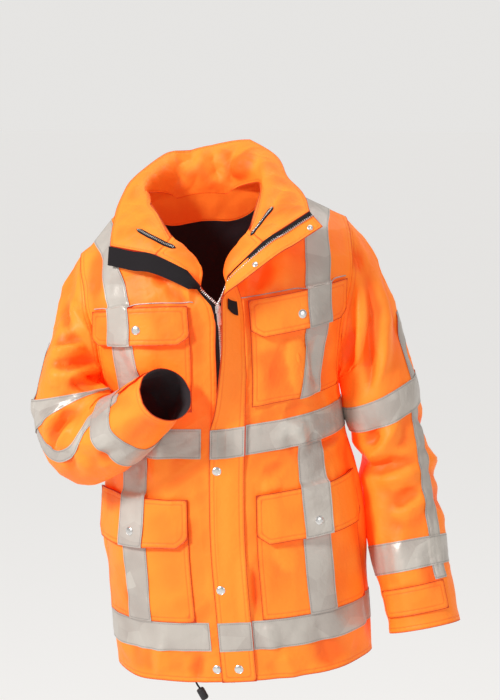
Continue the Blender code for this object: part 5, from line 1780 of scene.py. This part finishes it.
@dataclass
class Hardware:
    """The zip's teeth, the snaps and the pieces kept from the frame."""

    sewn: dict[str, SewnPiece]

    def build(self) -> None:
        """Makes every hard piece."""
        for side in SIDES:
            tape, front = self.sewn[f"zip_tape_{side}"], self.sewn[f"front_{side}"]
            ZipTeeth(f"zip_{side}").make(tape.surface, front.surface)
            Snap(f"snap_chest_{side}", (f"chest_flap_{side}",)).make(self.sewn)
            Snap(f"snap_hip_{side}", (f"hip_flap_{side}", f"hip_flap_tape_{side}")).make(self.sewn)
        for node, host in (("snap_storm_upper", "storm_flap"), ("snap_storm_lower", "storm_flap"),
                           ("snap_hem_flap", "storm_flap"), ("snap_hem_right", "front_right")):
            Snap(node, (host,)).make(self.sewn)
        for node, finish in (("zip_slider", METAL), ("zip_pull", METAL), ("toggle", PLASTIC)):
            self.dress(node, finish)

    def dress(self, node: str, finish: Finish) -> None:
        """Gives a node that is kept its finish.

        Args:
            node: the node.
            finish: its finish.
        """
        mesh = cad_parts[node].data
        mesh.materials.clear()
        mesh.materials.append(finish.material())
        LOG.info("%s: kept", node)


@dataclass
class Cord:
    """The drawcord that hangs out of the hem, with its toggle."""

    radius: float = 0.0016
    points: int = 14
    top: float = -0.7885
    tuck: float = 0.004
    tuck_height: float = 0.007

    def make(self) -> None:
        """Builds the cord along its node's spine, from where it leaves the hem."""
        spine = spine_of("drawcord", 2, self.points)[::-1]
        spine = spine[spine[:, 2] < self.top]
        spine[:, 1] += self.tuck * ease(spine[:, 2], self.top - self.tuck_height, self.top)
        piece = tube("drawcord_cord", spine, self.radius, DARK)
        settle(piece, ["drawcord"])


def spine_of(node: str, axis: int, count: int) -> np.ndarray:
    """The middle line of a tube node that runs along one axis.

    Args:
        node: the tube's node.
        axis: the axis that it runs along.
        count: how many points the line has.

    Returns:
        The points in order along the axis.
    """
    places = np.array([vert.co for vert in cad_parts[node].data.vertices])
    groups = np.array_split(places[np.argsort(places[:, axis])], count)
    return np.array([0.5 * (group.min(axis=0) + group.max(axis=0)) for group in groups])


def tube(name: str, points: np.ndarray, radius: float, finish: Finish) -> bpy.types.Object:
    """A round tube along points, as a curve.

    Args:
        name: the object's name.
        points: the line that it follows.
        radius: its radius.
        finish: its finish.

    Returns:
        The curve object, linked to the scene.
    """
    curve = bpy.data.curves.new(name, "CURVE")
    curve.dimensions = "3D"
    curve.bevel_depth = radius
    curve.bevel_resolution = 4
    curve.use_fill_caps = True
    spline = curve.splines.new("POLY")
    spline.points.add(len(points) - 1)
    for point, place in zip(spline.points, points):
        point.co = (*place, 1.0)
    curve.materials.append(finish.material())
    return link_object(name, curve)


def top_cloth(names: Iterable[str], start: Vector, toward: Vector) -> tuple[Vector, Vector]:
    """Where a line of sight first meets the finished cloth.

    Args:
        names: the nodes of the pieces to look at.
        start: a point near the cloth.
        toward: the direction to the looker.

    Returns:
        The place and the normal that faces the looker, or the start where nothing is met.
    """
    best = None
    for name in names:
        piece = bpy.data.objects[f"{name}_cloth"]
        found, place, normal, _ = piece.ray_cast(start + toward * REACH, -toward, distance=2.0 * REACH)
        if found and (best is None or (place - start).dot(toward) > (best[0] - start).dot(toward)):
            best = (place, normal if normal.dot(toward) > 0.0 else -normal)
    return best or (start, toward)


# The way that the facings of the open neck look
NECK_VIEW = (0.10, -0.95, 0.30)


@dataclass
class LinerZip:
    """The end of the liner's zip, set in the facing beside the neck."""

    name: str
    hosts: tuple[str, ...]
    path: tuple[Place, ...]
    width: float = 0.0082
    cut_width: float = 0.010
    wall: float = 0.0008
    gap: float = 0.0012
    count: int = 28
    end_taper: tuple[float, float] = (-0.03, 0.10)
    tooth: Place = (0.0032, 0.0017, 0.0018)
    bevel: float = 0.0004
    pitch: float = 0.0030
    tooth_gap: float = 0.0018
    bare_end: float = 0.004
    rounds: int = 4

    def make(self) -> None:
        """Finds the zip's line on the facing, and makes its tape and its teeth on it."""
        toward = Vector(NECK_VIEW).normalized()
        route = resampled(np.array(self.path), self.count)
        laid = [top_cloth(self.hosts, Vector(spot), toward) for spot in route]
        spots = smoothed(np.array([place for place, _ in laid]), self.rounds)
        outs = smoothed(np.array([out for _, out in laid]), self.rounds)
        ahead = np.gradient(spots, axis=0)
        self.make_tape(spots, outs, ahead)
        self.make_teeth(spots, outs, ahead)

    def make_tape(self, spots: np.ndarray, outs: np.ndarray, ahead: np.ndarray) -> None:
        """Makes the dark tape, with narrowed ends.

        Args:
            spots: the places along its middle.
            outs: the directions out of the facing there.
            ahead: the directions along it there.
        """
        across = np.cross(ahead, outs)
        across *= self.width / 2.0 / np.linalg.norm(across, axis=1)[:, None]
        steps = np.arange(self.count)
        taper = ease(np.minimum(steps, steps[::-1]) / (self.count - 1.0), *self.end_taper)[:, None]
        rows = np.stack([spots + outs * self.gap + across * taper * share for share in (-1.0, 0.0, 1.0)])
        starts = [self.count * row + k for row in range(2) for k in range(self.count - 1)]
        faces = np.array([(k, k + 1, k + self.count + 1, k + self.count) for k in starts])
        surface = Surface(rows.reshape(-1, 3), faces)
        if np.mean(np.einsum("ij,ij->i", surface.outward()[:self.count], outs)) < 0.0:
            surface.faces = surface.faces[:, ::-1]
        tape = cloth_object(f"{self.name}_tape", surface, self.wall, DARK)
        settle(tape)

    def make_teeth(self, spots: np.ndarray, outs: np.ndarray, ahead: np.ndarray) -> None:
        """Makes the row of teeth on the middle of the tape.

        Args:
            spots: the places along the tape's middle.
            outs: the directions out of the facing there.
            ahead: the directions along it there.
        """
        run = runs_along(spots)
        marks = np.arange(self.bare_end, run[-1] - self.bare_end, self.pitch)
        tooth = rounded_box(self.tooth, self.bevel)
        teeth = bmesh.new()
        for place, out, way in zip(*(sampled(line, run, marks) for line in (spots, outs, ahead))):
            add_copy(teeth, tooth, placement(Vector(place) + Vector(out) * self.tooth_gap, way, out))
        settle(object_from(teeth, f"{self.name}_teeth", METAL))


@dataclass
class Stud:
    """The inner half of a press stud, on the turned back end of the storm flap."""

    name: str
    near: Place
    host: str = "storm_flap"
    sides: int = 28

    def make(self) -> None:
        """Sets the stud on the cloth."""
        place, out = top_cloth([self.host], Vector(self.near), Vector(NECK_VIEW).normalized())
        ring = lathe(STUD_PROFILE, self.sides)
        ring.transform(placement(place, UP, out))
        settle(object_from(ring, self.name, METAL))


LINER_ZIPS = (
    LinerZip("liner_zip_right", ("collar", "front_right"), (
        (-0.094, -0.131, -0.035), (-0.070, -0.148, -0.044), (-0.048, -0.155, -0.053),
        (-0.027, -0.152, -0.063),
    )),
    LinerZip("liner_zip_left", ("collar", "front_left"), (
        (0.124, -0.087, 0.000), (0.114, -0.104, -0.014), (0.103, -0.121, -0.029),
        (0.093, -0.139, -0.042),
    )),
)
STUDS = (Stud("stud_upper", (0.189, -0.147, -0.027)), Stud("stud_lower", (0.105, -0.188, -0.083)))


@dataclass
class Piping:
    """The thin reflective piping above a chest flap."""

    node: str
    hosts: tuple[str, ...]
    radius: float = 0.0010
    sunk: float = 0.8
    rings: int = 18
    count: int = 70
    rounds: int = 8

    def make(self, sewn: dict[str, SewnPiece]) -> None:
        """Lays the piping on the cloth below its node.

        Args:
            sewn: the sewn pieces by node.
        """
        trees = [sewn[name].surface.tree() for name in self.hosts]
        laid = []
        for spot in resampled(spine_of(self.node, 0, self.rings), self.count):
            top, out = topmost(trees, Vector(spot))
            laid.append(top + out * self.radius * self.sunk)
        piece = tube(f"{self.node}_cord", smoothed(np.array(laid), self.rounds), self.radius, TAPE)
        settle(piece, [self.node])


# --- Studio ------------------------------------------------------------------------------

@dataclass(frozen=True)
class Lamp:
    """A square area light and the point that it is aimed at."""

    name: str
    spot: Place
    aim: Place
    size: float
    power: float


LAMPS = (
    Lamp("key", spot=(-1.7, -2.2, 1.3), aim=(0.05, 0.0, -0.35), size=0.5, power=88.0),
    Lamp("fill", spot=(2.6, -2.0, 0.6), aim=(0.1, 0.0, -0.4), size=1.4, power=12.0),
    Lamp("top", spot=(0.2, 0.2, 2.4), aim=(0.1, 0.0, -0.2), size=1.2, power=20.0),
    Lamp("back", spot=(1.6, 1.8, 1.6), aim=(0.1, 0.0, -0.4), size=1.2, power=12.0),
)


@dataclass
class Studio:
    """Camera, lights and the pale floor."""

    eye: Place = (0.359, -2.682, 0.200)
    pitch: float = math.radians(80.5)
    heading: float = math.radians(6.0)
    lens: float = 81.8
    floor: float = -1.62
    floor_reach: float = 60.0
    surround: Colour = (0.785, 0.765, 0.750, 1.0)
    surround_strength: float = 0.50
    pale: Colour = (0.79, 0.78, 0.765, 1.0)

    def build(self) -> None:
        """Sets up the whole studio."""
        self.camera()
        for lamp in LAMPS:
            self.light(lamp)
        self.world()
        self.ground()
        bpy.context.scene.view_settings.view_transform = "Standard"

    def camera(self) -> None:
        """The camera at the viewing angle."""
        data = bpy.data.cameras.new("camera")
        data.lens = self.lens
        data.dof.use_dof = False
        camera = link_object("camera", data)
        camera.location = self.eye
        camera.rotation_euler = (self.pitch, 0.0, self.heading)
        bpy.context.scene.camera = camera

    def light(self, lamp: Lamp) -> None:
        """Sets up a lamp.

        Args:
            lamp: the lamp.
        """
        data = bpy.data.lights.new(lamp.name, "AREA")
        data.size = lamp.size
        data.energy = lamp.power
        light = link_object(lamp.name, data)
        light.location = lamp.spot
        light.rotation_euler = (Vector(lamp.aim) - Vector(lamp.spot)).to_track_quat("-Z", "Y").to_euler()

    def world(self) -> None:
        """A surround that lights the jacket softly, and that the camera sees as pale."""
        world = bpy.data.worlds.new("surround")
        world.use_nodes = True
        tree = world.node_tree
        sky = tree.nodes["Background"]
        sky.inputs["Color"].default_value = self.surround
        sky.inputs["Strength"].default_value = self.surround_strength
        light = Shade(tree, sky.outputs["Background"])
        shown = Shade.node(tree, "Background", None, {"Color": self.pale})
        sight = Shade.node(tree, "LightPath", output="Is Camera Ray")
        both = Shade.node(tree, "MixShader", None, {0: sight, 1: light, 2: shown})
        tree.links.new(both.socket, tree.nodes["World Output"].inputs["Surface"])
        bpy.context.scene.world = world

    def ground(self) -> None:
        """The wide pale floor, as bright as the surround."""
        paper = bmesh.new()
        far = self.floor_reach
        corners = ((-far, -far), (far, -far), (far, far), (-far, far))
        paper.faces.new([paper.verts.new((x, y, self.floor)) for x, y in corners])
        object_from(paper, "floor", PAPER)


def calm_spots() -> np.ndarray:
    """The middles of the hard pieces, round which the cloth lies still."""
    nodes = [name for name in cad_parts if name.startswith(("snap_", "zip_slider"))]
    return np.array([middle(name) for name in sorted(nodes)])


def main() -> None:
    """Builds the jacket and its studio."""
    logging.basicConfig(level=logging.INFO, format="%(name)s %(message)s")
    Studio().build()
    garment = Garment(calm_spots())
    garment.build()
    for side in SIDES:
        hosts = (f"front_{side}", f"chest_flap_{side}", f"brace_tape_{side}", f"chest_pocket_{side}")
        Piping(f"piping_{side}", hosts).make(garment.sewn)
    Hardware(garment.sewn).build()
    for detail in (*LINER_ZIPS, *STUDS):
        detail.make()
    Cord().make()


if __name__ == "__main__":
    main()
